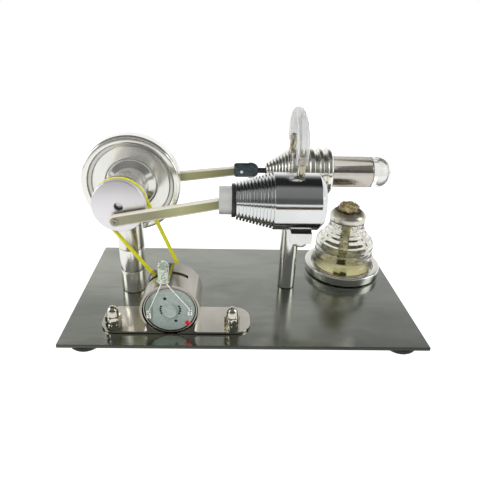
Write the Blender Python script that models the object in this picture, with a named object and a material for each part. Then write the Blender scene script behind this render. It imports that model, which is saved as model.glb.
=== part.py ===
"""Hot-air (Stirling) engine model driving a small lamp generator, on a steel base plate.

Units inside this file are millimetres, turned into metres when a mesh is made.
+X runs along the plate from the flywheel to the burner, +Y from front to back, +Z up.
"""
import math

import bmesh
import bpy
from mathutils import Vector

for old in list(bpy.data.objects):
    bpy.data.objects.remove(old, do_unlink=True)

MM = 0.001
GAP = 0.3

# base plate and feet
PLATE_LENGTH = 180.0
PLATE_WIDTH = 100.0
PLATE_THICK = 2.0
FOOT_HEIGHT = 4.0
FOOT_RADIUS = 8.5
FOOT_X = 78.0
FOOT_Y = 41.2
TOP = FOOT_HEIGHT + PLATE_THICK

# crankshaft, its post and its two wheels
CRANK_X = -61.5
CRANK_Z = TOP + 59.5
SHAFT_RADIUS = 1.9
CRANK_THROW = 6.0
CRANK_POST_Y = 1.5
CRANK_POST_RADIUS = 7.0
POST_SECTION = 13.3
HOUSING_RADIUS = 10.0
HOUSING_FRONT = -7.0
HOUSING_BACK = 9.0
PULLEY_FACE_Y = -21.5
PULLEY_RADIUS = 13.2
BELT_Y = -16.0
BELT_RADIUS = 0.8
PULLEY_BELT_RADIUS = 11.5
FLYWHEEL_RADIUS = 27.0
FLYWHEEL_FRONT = 9.5
FLYWHEEL_BACK = 19.0

# the two cylinders, side by side on one crossbar
CYL_Z = TOP + 64.9
POWER_Y = -24.5
HOT_Y = 22.2
CYL_RADIUS = 13.5
NOSE_X = -5.3
FIN_END_X = 11.7
BARREL_END_X = 32.9
POWER_END_X = 35.6
HOT_NOSE_X = 12.8
HOT_CONE_END_X = 25.5
HOT_BAND_END_X = 32.4
HOT_END_X = 48.8
BORE_RADIUS = 7.5
POST2_X = 26.6
POST2_Y = 5.5
BAR_TOP = TOP + 50.9
BAR_BOTTOM = TOP + 45.5

# pistons and rods
PISTON_RADIUS = 6.7
POWER_ANGLE = math.radians(-102.0)
HOT_ANGLE = math.radians(-12.0)
POWER_ROD = 60.0
HOT_ROD = 55.0
ROD_THICK = 3.0

# generator motor and its clamp
MOTOR_X = -36.2
MOTOR_Z = TOP + 13.6
MOTOR_RADIUS = 13.2
MOTOR_FACE_Y = -40.5
CLAMP_FRONT = -41.2
CLAMP_BACK = -19.8
CLAMP_RADIUS = 13.6
CLAMP_THICK = 1.0
STUD_Y = -37.4
STUD_LEFT_X = -64.8
STUD_RIGHT_X = -6.0
MOTOR_BELT_RADIUS = 6.0

# burner
LAMP_X = 63.9
LAMP_Y = 24.9
DISH_RADIUS = 22.6
DISH_HEIGHT = 6.0

AXES = {"X": Vector((1, 0, 0)), "Y": Vector((0, 1, 0)), "Z": Vector((0, 0, 1))}
OUTWARD = {"X": Vector((0, 0, 1)), "Y": Vector((0, 0, 1)), "Z": Vector((1, 0, 0))}


def material(name, colour, rough, metal=0.0, alpha=1.0):
    """One Principled material with a flat colour."""
    made = bpy.data.materials.new(name + "_mat")
    made.use_nodes = True
    shader = made.node_tree.nodes["Principled BSDF"]
    shader.inputs["Base Color"].default_value = (*colour, 1.0)
    shader.inputs["Roughness"].default_value = rough
    shader.inputs["Metallic"].default_value = metal
    shader.inputs["Alpha"].default_value = alpha
    made.diffuse_color = (*colour, 1.0)
    return made


def make(name, bm, look, origin=(0, 0, 0), sharp=35.0):
    """Turn a bmesh drawn in world millimetres into an object whose origin is `origin`."""
    bmesh.ops.recalc_face_normals(bm, faces=bm.faces)
    bmesh.ops.translate(bm, vec=-Vector(origin), verts=bm.verts)
    bmesh.ops.scale(bm, vec=(MM, MM, MM), verts=bm.verts)
    mesh = bpy.data.meshes.new(name)
    bm.to_mesh(mesh)
    bm.free()
    for face in mesh.polygons:
        face.use_smooth = True
    mesh.set_sharp_from_angle(angle=math.radians(sharp))
    made = bpy.data.objects.new(name, mesh)
    made.location = Vector(origin) * MM
    bpy.context.scene.collection.objects.link(made)
    if look is None:
        made.hide_render = True
        made.display_type = 'WIRE'
    else:
        mesh.materials.append(material(name, *look))
    return made


def turn_into(bm, profile, axis, centre, steps):
    """Revolve (along, radius) pairs about an axis through `centre`, as a closed body."""
    along = AXES[axis]
    out = OUTWARD[axis]
    base = Vector(centre)
    rings = [bm.verts.new(base + along * a + out * r) for a, r in profile]
    edges = [bm.edges.new(pair) for pair in zip(rings, rings[1:])]
    if profile[0][1] > 0 and profile[-1][1] > 0:
        edges.append(bm.edges.new((rings[-1], rings[0])))
    made = bmesh.ops.spin(bm, geom=rings + edges, cent=base, axis=along, dvec=(0, 0, 0),
                          angle=2 * math.pi, steps=steps, use_merge=True, use_duplicate=False)
    bmesh.ops.remove_doubles(bm, verts=bm.verts, dist=1e-4)
    return made


def turned(name, profile, axis, centre, steps, look, origin=(0, 0, 0)):
    bm = bmesh.new()
    turn_into(bm, profile, axis, centre, steps)
    return make(name, bm, look, origin)


def rod_profile(start, end, radius, chamfer=0.0):
    """Profile of a plain round bar with optional chamfered ends."""
    if chamfer <= 0:
        return [(start, 0), (start, radius), (end, radius), (end, 0)]
    return [(start, 0), (start, radius - chamfer), (start + chamfer, radius),
            (end - chamfer, radius), (end, radius - chamfer), (end, 0)]


def tube_profile(start, end, inner, outer):
    return [(start, inner), (start, outer), (end, outer), (end, inner)]


def round_cutters(name, holes):
    """One cutter holding several separate round holes: (axis, centre, start, end, radius)."""
    bm = bmesh.new()
    for axis, centre, start, end, radius in holes:
        turn_into(bm, rod_profile(start, end, radius), axis, centre, 12)
    return make(name, bm, None)


def boolean(target, cutter, kind='DIFFERENCE'):
    step = target.modifiers.new(cutter.name, 'BOOLEAN')
    step.operation = kind
    step.solver = 'EXACT'
    step.object = cutter
    return target


def extruded(name, outline, axis, start, end, look, origin=(0, 0, 0), sharp=35.0):
    """Extrude a closed outline: (x, z) pairs along Y, or (x, y) pairs along Z."""
    bm = bmesh.new()
    if axis == "Y":
        points = [Vector((u, start, v)) for u, v in outline]
        push = Vector((0, end - start, 0))
    else:
        points = [Vector((u, v, start)) for u, v in outline]
        push = Vector((0, 0, end - start))
    face = bm.faces.new([bm.verts.new(p) for p in points])
    grown = bmesh.ops.extrude_face_region(bm, geom=[face])
    moved = [v for v in grown["geom"] if isinstance(v, bmesh.types.BMVert)]
    bmesh.ops.translate(bm, vec=push, verts=moved)
    return make(name, bm, look, origin, sharp)


def box(name, low, high, look, origin=(0, 0, 0), bevel=0.0):
    bm = bmesh.new()
    bmesh.ops.create_cube(bm, size=1.0)
    size = Vector(high) - Vector(low)
    bmesh.ops.scale(bm, vec=size, verts=bm.verts)
    bmesh.ops.translate(bm, vec=(Vector(low) + Vector(high)) / 2, verts=bm.verts)
    if bevel > 0:
        bmesh.ops.bevel(bm, geom=list(bm.edges), offset=bevel, segments=1, affect='EDGES')
    return make(name, bm, look, origin)


def swept(name, path, outer, inner, steps, look, closed=False, origin=(0, 0, 0)):
    """Sweep a round section along a path; `inner` above 0 makes it a hollow tube."""
    bm = bmesh.new()
    count = len(path)
    points = [Vector(p) for p in path]
    normal = None
    loops = []
    for i, point in enumerate(points):
        before = points[i - 1] if (closed or i > 0) else point
        after = points[(i + 1) % count] if (closed or i < count - 1) else point
        heading = (after - before).normalized()
        if normal is None:
            normal = heading.orthogonal().normalized()
            if abs(heading.y) < 0.5 and closed:
                normal = Vector((0, 1, 0))
        normal = (normal - heading * normal.dot(heading)).normalized()
        side = heading.cross(normal)
        section = []
        for radius in ((outer, inner) if inner > 0 else (outer,)):
            ring = []
            for k in range(steps):
                turn = 2 * math.pi * k / steps
                spoke = normal * math.cos(turn) + side * math.sin(turn)
                ring.append(bm.verts.new(point + spoke * radius))
            section.append(ring)
        loops.append(section)
    spans = count if closed else count - 1
    for i in range(spans):
        here = loops[i]
        there = loops[(i + 1) % count]
        for ring_a, ring_b in zip(here, there):
            for k in range(steps):
                n = (k + 1) % steps
                bm.faces.new((ring_a[k], ring_a[n], ring_b[n], ring_b[k]))
    if not closed:
        for section in (loops[0], loops[-1]):
            if inner > 0:
                for k in range(steps):
                    n = (k + 1) % steps
                    bm.faces.new((section[0][k], section[0][n], section[1][n], section[1][k]))
            else:
                bm.faces.new(section[0])
    return make(name, bm, look, origin)


def spline(points, pieces):
    """Smooth path through the points (Catmull-Rom), `pieces` steps between each pair."""
    knots = [Vector(p) for p in points]
    knots = [2 * knots[0] - knots[1]] + knots + [2 * knots[-1] - knots[-2]]
    path = []
    for i in range(1, len(knots) - 2):
        p0, p1, p2, p3 = knots[i - 1:i + 3]
        for k in range(pieces):
            t = k / pieces
            path.append(0.5 * ((2 * p1) + (p2 - p0) * t + (2 * p0 - 5 * p1 + 4 * p2 - p3) * t * t
                               + (3 * p1 - p0 - 3 * p2 + p3) * t ** 3))
    path.append(knots[-2])
    return path


def link_outline(a, b, radius_a, radius_b, arc=7):
    """Outline in (x, z) of a bar with rounded ends about points a and b."""
    heading = math.atan2(b[1] - a[1], b[0] - a[0])
    points = []
    for centre, radius, start in ((a, radius_a, 90.0), (b, radius_b, -90.0)):
        for k in range(arc):
            turn = heading + math.radians(start + 180.0 * k / (arc - 1))
            points.append((centre[0] + radius * math.cos(turn), centre[1] + radius * math.sin(turn)))
    return points


STEEL = ((0.55, 0.56, 0.56), 0.22, 1.0)
NICKEL = ((0.66, 0.62, 0.56), 0.16, 1.0)
ALUMINIUM = ((0.78, 0.78, 0.77), 0.2, 1.0)
BLACK_STEEL = ((0.03, 0.03, 0.035), 0.4, 0.6)
PLATE_LOOK = ((0.36, 0.38, 0.37), 0.25, 1.0)
RUBBER = ((0.015, 0.015, 0.015), 0.75, 0.0)
ROD_PLASTIC = ((0.72, 0.71, 0.52), 0.4, 0.0)
CLEAR = ((0.9, 0.93, 0.93), 0.05, 0.0, 0.35)

# ---------------------------------------------------------------- base plate and feet
plate = box("base_plate", (-PLATE_LENGTH / 2, -PLATE_WIDTH / 2, FOOT_HEIGHT),
            (PLATE_LENGTH / 2, PLATE_WIDTH / 2, TOP), PLATE_LOOK, bevel=0.25)
plate_holes = round_cutters("plate_holes", [
    ("Z", (x, y, 0), FOOT_HEIGHT - 1, TOP + 1, 2.3)
    for x, y in ((CRANK_X, CRANK_POST_Y), (POST2_X, POST2_Y), (STUD_LEFT_X, STUD_Y),
                 (STUD_RIGHT_X, STUD_Y))])
boolean(plate, plate_holes)

for tag, x, y in (("front_left", -FOOT_X, -FOOT_Y), ("front_right", FOOT_X, -FOOT_Y),
                  ("back_left", -FOOT_X, FOOT_Y), ("back_right", FOOT_X, FOOT_Y)):
    turned("foot_" + tag, [(0, 0), (0, FOOT_RADIUS - 1.2), (0.4, FOOT_RADIUS - 0.4), (1.2, FOOT_RADIUS),
                           (FOOT_HEIGHT - GAP, FOOT_RADIUS), (FOOT_HEIGHT - GAP, 0)],
           "Z", (x, y, 0), 16, RUBBER)

# ---------------------------------------------------------------- crank post
post_centre = (CRANK_X, CRANK_POST_Y, 0)
for tag, low, high in (("lower", TOP + 0.3, TOP + POST_SECTION),
                       ("middle", TOP + POST_SECTION + GAP, TOP + 2 * POST_SECTION)):
    turned("crank_post_" + tag,
           [(low, 2.3), (low, CRANK_POST_RADIUS - 0.25), (low + 0.25, CRANK_POST_RADIUS),
            (high - 0.25, CRANK_POST_RADIUS), (high, CRANK_POST_RADIUS - 0.25), (high, 2.3)],
           "Z", post_centre, 16, STEEL)
upper_low = TOP + 2 * POST_SECTION + GAP
upper = turned("crank_post_upper",
               [(upper_low, 2.3), (upper_low, CRANK_POST_RADIUS - 0.25),
                (upper_low + 0.25, CRANK_POST_RADIUS), (CRANK_Z - 5, CRANK_POST_RADIUS),
                (CRANK_Z - 5, 2.3)],
               "Z", post_centre, 16, STEEL)
saddle = turned("saddle_cut", rod_profile(-30, 30, HOUSING_RADIUS + GAP), "Y",
                (CRANK_X, 0, CRANK_Z), 24, None)
boolean(upper, saddle)

housing = turned("bearing_housing",
                 [(HOUSING_FRONT, 5.3), (HOUSING_FRONT, HOUSING_RADIUS - 0.5),
                  (HOUSING_FRONT + 0.5, HOUSING_RADIUS), (HOUSING_BACK - 0.5, HOUSING_RADIUS),
                  (HOUSING_BACK, HOUSING_RADIUS - 0.5), (HOUSING_BACK, 5.3), (HOUSING_BACK - 4.3, 5.3),
                  (HOUSING_BACK - 4.3, 3.0), (HOUSING_FRONT + 4.3, 3.0), (HOUSING_FRONT + 4.3, 5.3)],
                 "Y", (CRANK_X, 0, CRANK_Z), 24, STEEL)
housing_holes = round_cutters("housing_holes", [
    ("Z", (CRANK_X, CRANK_POST_Y, CRANK_Z), -HOUSING_RADIUS - 2, -5.0, 2.3),
    ("Z", (CRANK_X, CRANK_POST_Y, CRANK_Z), 6.5, HOUSING_RADIUS + 2, 2.6)])
boolean(housing, housing_holes)

for tag, start in (("front", HOUSING_FRONT + 0.1), ("rear", HOUSING_BACK - 4.1)):
    turned("bearing_" + tag,
           [(start, SHAFT_RADIUS + GAP), (start, 3.0), (start + 0.35, 3.2), (start + 0.35, 4.1),
            (start, 4.3), (start, 5.0), (start + 4.0, 5.0), (start + 4.0, SHAFT_RADIUS + GAP)],
           "Y", (CRANK_X, 0, CRANK_Z), 10, STEEL)

turned("crank_post_bolt",
       [(1.4, 0), (1.4, 2.9), (2.0, 3.5), (FOOT_HEIGHT - GAP, 3.5), (FOOT_HEIGHT - GAP, 2.0),
        (CRANK_Z - 5.6, 2.0), (CRANK_Z - 5.6, 0)], "Z", post_centre, 10, STEEL)

# ---------------------------------------------------------------- crank: shaft, pulley, flywheel
crank_axis = (CRANK_X, 0, CRANK_Z)
turned("crank_shaft", rod_profile(PULLEY_FACE_Y + 2.2, FLYWHEEL_BACK - 1.0, SHAFT_RADIUS, 0.3), "Y",
       crank_axis, 14, STEEL, crank_axis)

GROOVE_RADIUS = PULLEY_BELT_RADIUS - BELT_RADIUS - GAP
turned("front_pulley",
       [(PULLEY_FACE_Y, SHAFT_RADIUS + GAP), (PULLEY_FACE_Y, PULLEY_RADIUS - 0.3),
        (PULLEY_FACE_Y + 0.3, PULLEY_RADIUS), (BELT_Y - 2.0, PULLEY_RADIUS), (BELT_Y - 1.2, GROOVE_RADIUS),
        (BELT_Y + 1.2, GROOVE_RADIUS), (BELT_Y + 2.0, PULLEY_RADIUS - 0.2),
        (BELT_Y + 3.6, PULLEY_RADIUS - 0.2),
        (BELT_Y + 3.6, 5.5), (BELT_Y + 6.5, 5.0), (BELT_Y + 6.5, SHAFT_RADIUS + GAP)],
       "Y", crank_axis, 24, ALUMINIUM, crank_axis)

F0 = FLYWHEEL_FRONT
F1 = FLYWHEEL_BACK
R = FLYWHEEL_RADIUS
turned("flywheel",
       [(F0, SHAFT_RADIUS + GAP), (F0, 8.6), (F0 + 2.6, 13.2), (F0 + 2.6, 14.0), (F0 + 1.8, 14.6),
        (F0 + 1.8, 21.0), (F0 + 1.0, 21.2), (F0 + 1.0, 23.2), (F0, 23.4), (F0, R - 0.7), (F0 + 0.7, R),
        (F1 - 0.7, R), (F1, R - 0.7), (F1, 22.0), (F1 - 2.0, 21.0), (F1 - 2.0, 12.5), (F1, 11.5),
        (F1, SHAFT_RADIUS + GAP)],
       "Y", crank_axis, 30, ALUMINIUM, crank_axis)

# ---------------------------------------------------------------- post, crossbar and their screws
turned("cylinder_post",
       [(TOP + GAP, 0), (TOP + GAP, 4.75), (TOP + GAP + 0.25, 5.0), (BAR_BOTTOM - 0.55, 5.0),
        (BAR_BOTTOM - GAP, 4.75), (BAR_BOTTOM - GAP, 0)],
       "Z", (POST2_X, POST2_Y, 0), 20, STEEL)
boolean(bpy.data.objects["cylinder_post"], round_cutters("post_holes", [
    ("Z", (POST2_X, POST2_Y, 0), TOP - 2, TOP + 12, 2.3),
    ("Z", (POST2_X, POST2_Y, 0), BAR_BOTTOM - 11, BAR_BOTTOM + 2, 2.3)]))
turned("cylinder_post_screw",
       [(1.4, 0), (1.4, 2.9), (2.0, 3.5), (FOOT_HEIGHT - GAP, 3.5), (FOOT_HEIGHT - GAP, 2.0),
        (TOP + 11, 2.0), (TOP + 11, 0)], "Z", (POST2_X, POST2_Y, 0), 10, STEEL)

bar = box("crossbar", (21.0, POWER_Y - 6.5, BAR_BOTTOM), (31.0, HOT_Y + 6.5, BAR_TOP), STEEL, bevel=0.3)
boolean(bar, round_cutters("bar_holes", [
    ("Z", (POST2_X, y, 0), BAR_BOTTOM - 2, BAR_TOP + 2, 2.3) for y in (POWER_Y, POST2_Y, HOT_Y)]))
turned("crossbar_screw",
       [(BAR_BOTTOM - 10, 0), (BAR_BOTTOM - 10, 2.0), (BAR_TOP + GAP, 2.0), (BAR_TOP + GAP, 3.5),
        (BAR_TOP + 1.8, 3.3), (BAR_TOP + 2.5, 2.4), (BAR_TOP + 2.5, 0)],
       "Z", (POST2_X, POST2_Y, 0), 10, STEEL)
for tag, y in (("power", POWER_Y), ("hot", HOT_Y)):
    turned(tag + "_cylinder_screw",
           [(BAR_BOTTOM - 3.9, 0), (BAR_BOTTOM - 3.9, 2.4), (BAR_BOTTOM - 3.0, 3.4), (BAR_BOTTOM - GAP, 3.6),
            (BAR_BOTTOM - GAP, 2.0), (CYL_Z - CYL_RADIUS + 3.2, 2.0), (CYL_Z - CYL_RADIUS + 3.2, 0)],
           "Z", (POST2_X, y, 0), 14, STEEL)


# ---------------------------------------------------------------- the two finned cylinders
def finned(start, end, radius_start, radius_end, count, depth, share):
    """Outer profile of `count` square fins between two radii, ending on full metal."""
    pitch = (end - start) / count
    points = []
    for k in range(count):
        a = start + pitch * k
        b = a + pitch * share
        c = a + pitch
        slope = (radius_end - radius_start) / (end - start)
        fin_a = radius_start + slope * (a - start)
        fin_b = radius_start + slope * (b - start)
        root_b = fin_b - depth
        root_c = radius_start + slope * (c - start) - depth
        points += [(a, fin_a), (b, fin_b), (b, root_b), (c, root_c)]
    return points


power_axis = (0, POWER_Y, CYL_Z)
hot_axis = (0, HOT_Y, CYL_Z)
POWER_NOZZLE_X = 24.2
HOT_NOZZLE_X = 27.2
HOT_RADIUS = 13.2

power = turned("power_cylinder",
               [(32.5, 0), (32.5, BORE_RADIUS), (NOSE_X, BORE_RADIUS)]
               + finned(NOSE_X, FIN_END_X, 9.0, 13.2, 11, 1.3, 0.5)
               + [(FIN_END_X, CYL_RADIUS), (BARREL_END_X, CYL_RADIUS), (POWER_END_X, 10.6), (POWER_END_X, 0)],
               "X", power_axis, 16, ALUMINIUM)


def ports(name, nozzle_x, axis_point, radius):
    """Stepped nozzle hole in the top and a tapped hole in the bottom of a cylinder."""
    bm = bmesh.new()
    turn_into(bm, [(6.0, 0), (6.0, 1.2), (radius - 3.0, 1.2), (radius - 3.0, 2.2), (radius + 2, 2.2),
                   (radius + 2, 0)], "Z", (nozzle_x, axis_point[1], axis_point[2]), 16)
    turn_into(bm, rod_profile(-radius - 2, -CYL_RADIUS + 3.8, 2.3), "Z",
              (POST2_X, axis_point[1], axis_point[2]), 16)
    return make(name, bm, None)


boolean(power, ports("power_ports", POWER_NOZZLE_X, power_axis, CYL_RADIUS))

turned("power_cylinder_liner",
       [(NOSE_X - 2.1, PISTON_RADIUS + 0.25), (NOSE_X - 2.1, 8.0), (NOSE_X - GAP, 8.0),
        (NOSE_X - GAP, BORE_RADIUS - 0.2), (20.0, BORE_RADIUS - 0.2), (20.0, PISTON_RADIUS + 0.25)],
       "X", power_axis, 20, BLACK_STEEL)

hot = turned("hot_cylinder",
             [(HOT_NOSE_X, 2.8)] + finned(HOT_NOSE_X, HOT_CONE_END_X, 4.6, 12.8, 8, 1.5, 0.5)
             + [(HOT_CONE_END_X, HOT_RADIUS), (HOT_BAND_END_X, HOT_RADIUS), (33.2, 12.4), (33.6, 10.6),
                (34.8, 10.6), (35.2, 12.4), (36.0, HOT_RADIUS), (38.2, HOT_RADIUS), (39.0, 12.4),
                (39.3, 10.6), (40.3, 10.6), (40.6, 12.4), (41.4, HOT_RADIUS), (43.0, HOT_RADIUS),
                (43.7, 12.4), (44.0, 10.8), (45.0, 10.8), (45.3, 12.4), (46.0, HOT_RADIUS),
                (47.6, HOT_RADIUS), (48.6, 12.2), (HOT_END_X, 11.2), (HOT_END_X, 9.0), (43.0, 9.0),
                (43.0, BORE_RADIUS), (27.0, BORE_RADIUS), (27.0, 2.8)],
             "X", hot_axis, 16, ALUMINIUM)
boolean(hot, ports("hot_ports", HOT_NOZZLE_X, hot_axis, HOT_RADIUS))
turned("rod_guide_bush", tube_profile(HOT_NOSE_X + 0.3, 20.0, 1.8, 2.5), "X", hot_axis, 16,
       ((0.7, 0.55, 0.25), 0.3, 1.0))

GLASS_RADIUS = 8.7
turned("glass_tube",
       [(43.3, 7.5), (43.3, GLASS_RADIUS), (75.5, GLASS_RADIUS), (78.6, 8.0), (81.0, 6.2), (82.4, 3.8),
        (82.8, 1.3), (83.7, 0.9), (84.1, 0), (81.6, 0), (81.2, 3.2), (79.9, 5.3), (78.0, 6.8), (75.5, 7.5)],
       "X", hot_axis, 16, CLEAR)

for tag, x, y, radius in (("power", POWER_NOZZLE_X, POWER_Y, CYL_RADIUS),
                          ("hot", HOT_NOZZLE_X, HOT_Y, HOT_RADIUS)):
    seat = CYL_Z + radius - 2.8
    turned(tag + "_nozzle", tube_profile(seat, CYL_Z + radius + 8.3, 1.2, 1.9), "Z", (x, y, 0), 12, STEEL)

power_tip = CYL_Z + CYL_RADIUS + 4.5
hot_tip = CYL_Z + HOT_RADIUS + 5.0
hose_path = spline([
    (HOT_NOZZLE_X, HOT_Y, hot_tip), (HOT_NOZZLE_X, HOT_Y, hot_tip + 5), (26.8, 20.5, TOP + 92.5),
    (26.4, 12.0, TOP + 99.0), (25.4, -1.0, TOP + 101.3), (24.8, -14.0, TOP + 99.0), (24.4, -22.6, TOP + 92.5),
    (POWER_NOZZLE_X, POWER_Y, power_tip + 5), (POWER_NOZZLE_X, POWER_Y, power_tip)], 3)
swept("air_hose", hose_path, 2.9, 2.3, 8, ((0.88, 0.9, 0.9), 0.25, 0.0, 0.5))

# ---------------------------------------------------------------- power piston and its rod
power_pin = (CRANK_X + CRANK_THROW * math.cos(POWER_ANGLE), CRANK_Z + CRANK_THROW * math.sin(POWER_ANGLE))
hot_pin = (CRANK_X + CRANK_THROW * math.cos(HOT_ANGLE), CRANK_Z + CRANK_THROW * math.sin(HOT_ANGLE))
WRIST_X = power_pin[0] + math.sqrt(POWER_ROD ** 2 - (CYL_Z - power_pin[1]) ** 2)
FORK_X = hot_pin[0] + math.sqrt(HOT_ROD ** 2 - (CYL_Z - hot_pin[1]) ** 2)
wrist = (WRIST_X, POWER_Y, CYL_Z)
fork = (FORK_X, HOT_Y, CYL_Z)

piston = turned("power_piston",
                [(WRIST_X - 9.5, 5.4), (WRIST_X - 9.5, PISTON_RADIUS - 0.2), (WRIST_X - 9.3, PISTON_RADIUS),
                 (WRIST_X + 14.0, PISTON_RADIUS), (WRIST_X + 14.5, PISTON_RADIUS - 0.5), (WRIST_X + 14.5, 0),
                 (WRIST_X + 11.0, 0), (WRIST_X + 11.0, 5.4)],
                "X", power_axis, 20, ((0.55, 0.55, 0.55), 0.35, 0.8), wrist)
boolean(piston, round_cutters("wrist_hole", [("Y", (WRIST_X, POWER_Y, CYL_Z), -9, 9, 1.15)]))
turned("wrist_pin", rod_profile(POWER_Y - 6.2, POWER_Y + 6.2, 0.9), "Y", (WRIST_X, 0, CYL_Z), 12,
       STEEL, wrist)

HALF = ROD_THICK / 2
rod = extruded("power_rod", link_outline(power_pin, (WRIST_X, CYL_Z), 3.0, 2.6), "Y",
               POWER_Y - HALF, POWER_Y + HALF, ROD_PLASTIC, wrist)
boolean(rod, round_cutters("power_rod_holes", [
    ("Y", (power_pin[0], POWER_Y, power_pin[1]), -4, 4, 1.65), ("Y", wrist, -4, 4, 1.2)]))
turned("power_crank_pin",
       [(POWER_Y - 3.0, 0), (POWER_Y - 3.0, 1.4), (POWER_Y - 2.6, 1.9), (POWER_Y - 1.8, 1.9),
        (POWER_Y - 1.8, 1.35), (POWER_Y + 1.8, 1.35), (POWER_Y + 1.8, 2.3), (PULLEY_FACE_Y - GAP, 2.3),
        (PULLEY_FACE_Y - GAP, 0)], "Y", (power_pin[0], 0, power_pin[1]), 14, STEEL, wrist)

# ---------------------------------------------------------------- displacer, its rod, fork and link
link = extruded("displacer_link", link_outline(hot_pin, (FORK_X, CYL_Z), 3.0, 2.6), "Y",
                HOT_Y - HALF, HOT_Y + HALF, ROD_PLASTIC, fork)
boolean(link, round_cutters("displacer_link_holes", [
    ("Y", (hot_pin[0], HOT_Y, hot_pin[1]), -4, 4, 1.65), ("Y", fork, -4, 4, 1.2)]))
turned("displacer_crank_pin",
       [(FLYWHEEL_BACK + GAP, 0), (FLYWHEEL_BACK + GAP, 2.3), (HOT_Y - 1.8, 2.3), (HOT_Y - 1.8, 1.35),
        (HOT_Y + 1.8, 1.35), (HOT_Y + 1.8, 1.9), (HOT_Y + 2.6, 1.9), (HOT_Y + 3.0, 1.4), (HOT_Y + 3.0, 0)],
       "Y", (hot_pin[0], 0, hot_pin[1]), 14, STEEL, fork)

clevis = turned("clevis",
                [(FORK_X - 4.2, 0), (FORK_X - 4.2, 3.5), (FORK_X - 3.4, 4.2), (FORK_X + 6.6, 4.2),
                 (FORK_X + 8.4, 3.6), (FORK_X + 9.3, 2.6), (FORK_X + 9.3, 1.8), (FORK_X + 5.4, 1.8),
                 (FORK_X + 5.4, 0)],
                "X", hot_axis, 20, ((0.07, 0.09, 0.1), 0.35, 0.4), fork)
boolean(clevis, box("fork_slot", (FORK_X - 6, HOT_Y - HALF - GAP, CYL_Z - 8),
                    (FORK_X + 4.0, HOT_Y + HALF + GAP, CYL_Z + 8), None))
boolean(clevis, round_cutters("fork_pin_hole", [("Y", fork, -9, 9, 1.15)]))
turned("clevis_pin", rod_profile(HOT_Y - 3.6, HOT_Y + 3.6, 0.9), "Y", (FORK_X, 0, CYL_Z), 12, STEEL, fork)

DISPLACER_START = 40.0
DISPLACER_END = 72.6
turned("displacer_rod", rod_profile(FORK_X + 5.8, DISPLACER_START + 5.0, 1.5), "X", hot_axis, 14,
       BLACK_STEEL, fork)
turned("displacer",
       [(DISPLACER_START, 1.8), (DISPLACER_START, 5.8), (DISPLACER_START + 1.0, 6.8),
        (DISPLACER_END - 1.5, 6.8), (DISPLACER_END, 5.3), (DISPLACER_END, 0), (DISPLACER_START + 5.6, 0),
        (DISPLACER_START + 5.6, 1.8)], "X", hot_axis, 24, STEEL, fork)

# ---------------------------------------------------------------- generator motor
motor_axis = (MOTOR_X, 0, MOTOR_Z)
FACE = MOTOR_FACE_Y
M = MOTOR_RADIUS
turned("motor_can",
       [(FACE + 2.8, 0), (FACE + 2.8, M - 0.7), (FACE, M - 0.7), (FACE, M - 0.3), (FACE + 0.3, M),
        (-24.0, M), (-23.0, M - 1.0), (-23.0, 3.6), (-21.4, 3.4), (-21.4, 1.3), (-31.0, 1.3), (-31.0, 0)],
       "Y", motor_axis, 24, ((0.62, 0.6, 0.56), 0.3, 1.0))
cap = turned("motor_end_cap",
             [(FACE + 2.5, 0), (FACE + 2.5, M - 1.1), (FACE + 0.6, M - 1.1), (FACE + 0.4, M - 1.3),
              (FACE + 0.4, 3.9), (FACE - 0.7, 3.5), (FACE - 1.0, 3.2), (FACE - 1.0, 0)],
             "Y", motor_axis, 24, ((0.2, 0.24, 0.26), 0.45, 0.0))
boolean(cap, round_cutters("cap_holes", [
    ("Y", (MOTOR_X - 2.5, FACE, MOTOR_Z + 5.9), -1, 1.6, 0.8),
    ("Y", (MOTOR_X + 2.6, FACE, MOTOR_Z - 6.4), -1, 1.6, 0.8)]))
for tag, side in (("left", -1), ("right", 1)):
    boolean(cap, box("cap_slot_" + tag, (MOTOR_X + side * 4.9 - 0.5, FACE - 1, MOTOR_Z - 1.5),
                     (MOTOR_X + side * 4.9 + 0.5, FACE + 1.6, MOTOR_Z + 1.5), None))

LED_X = -38.4
LED_Y = -42.1
LED_Z = TOP + 31.3
turned("led_lamp",
       [(LED_Z, 0), (LED_Z, 3.3), (LED_Z + 1.1, 3.3), (LED_Z + 1.1, 2.65), (LED_Z + 7.8, 2.65),
        (LED_Z + 9.2, 2.2), (LED_Z + 10.1, 1.3), (LED_Z + 10.4, 0)], "Z", (LED_X, LED_Y, 0), 18,
       ((0.75, 0.95, 0.9), 0.08, 0.0, 0.6))
for tag, start_x, end_x, end_z in (("left", LED_X - 1.3, MOTOR_X - 10.4, MOTOR_Z - 2.2),
                                   ("right", LED_X + 1.3, MOTOR_X + 9.6, MOTOR_Z - 0.2)):
    lead = spline([(start_x, LED_Y, LED_Z - GAP), (start_x, LED_Y, LED_Z - 2.2),
                   ((start_x + end_x) / 2, LED_Y, (LED_Z + end_z) / 2), (end_x, LED_Y, end_z + 1.5),
                   (end_x, FACE - 0.25, end_z)], 3)
    swept("led_lead_" + tag, lead, 0.3, 0, 6, ((0.8, 0.8, 0.78), 0.25, 1.0))

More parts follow.
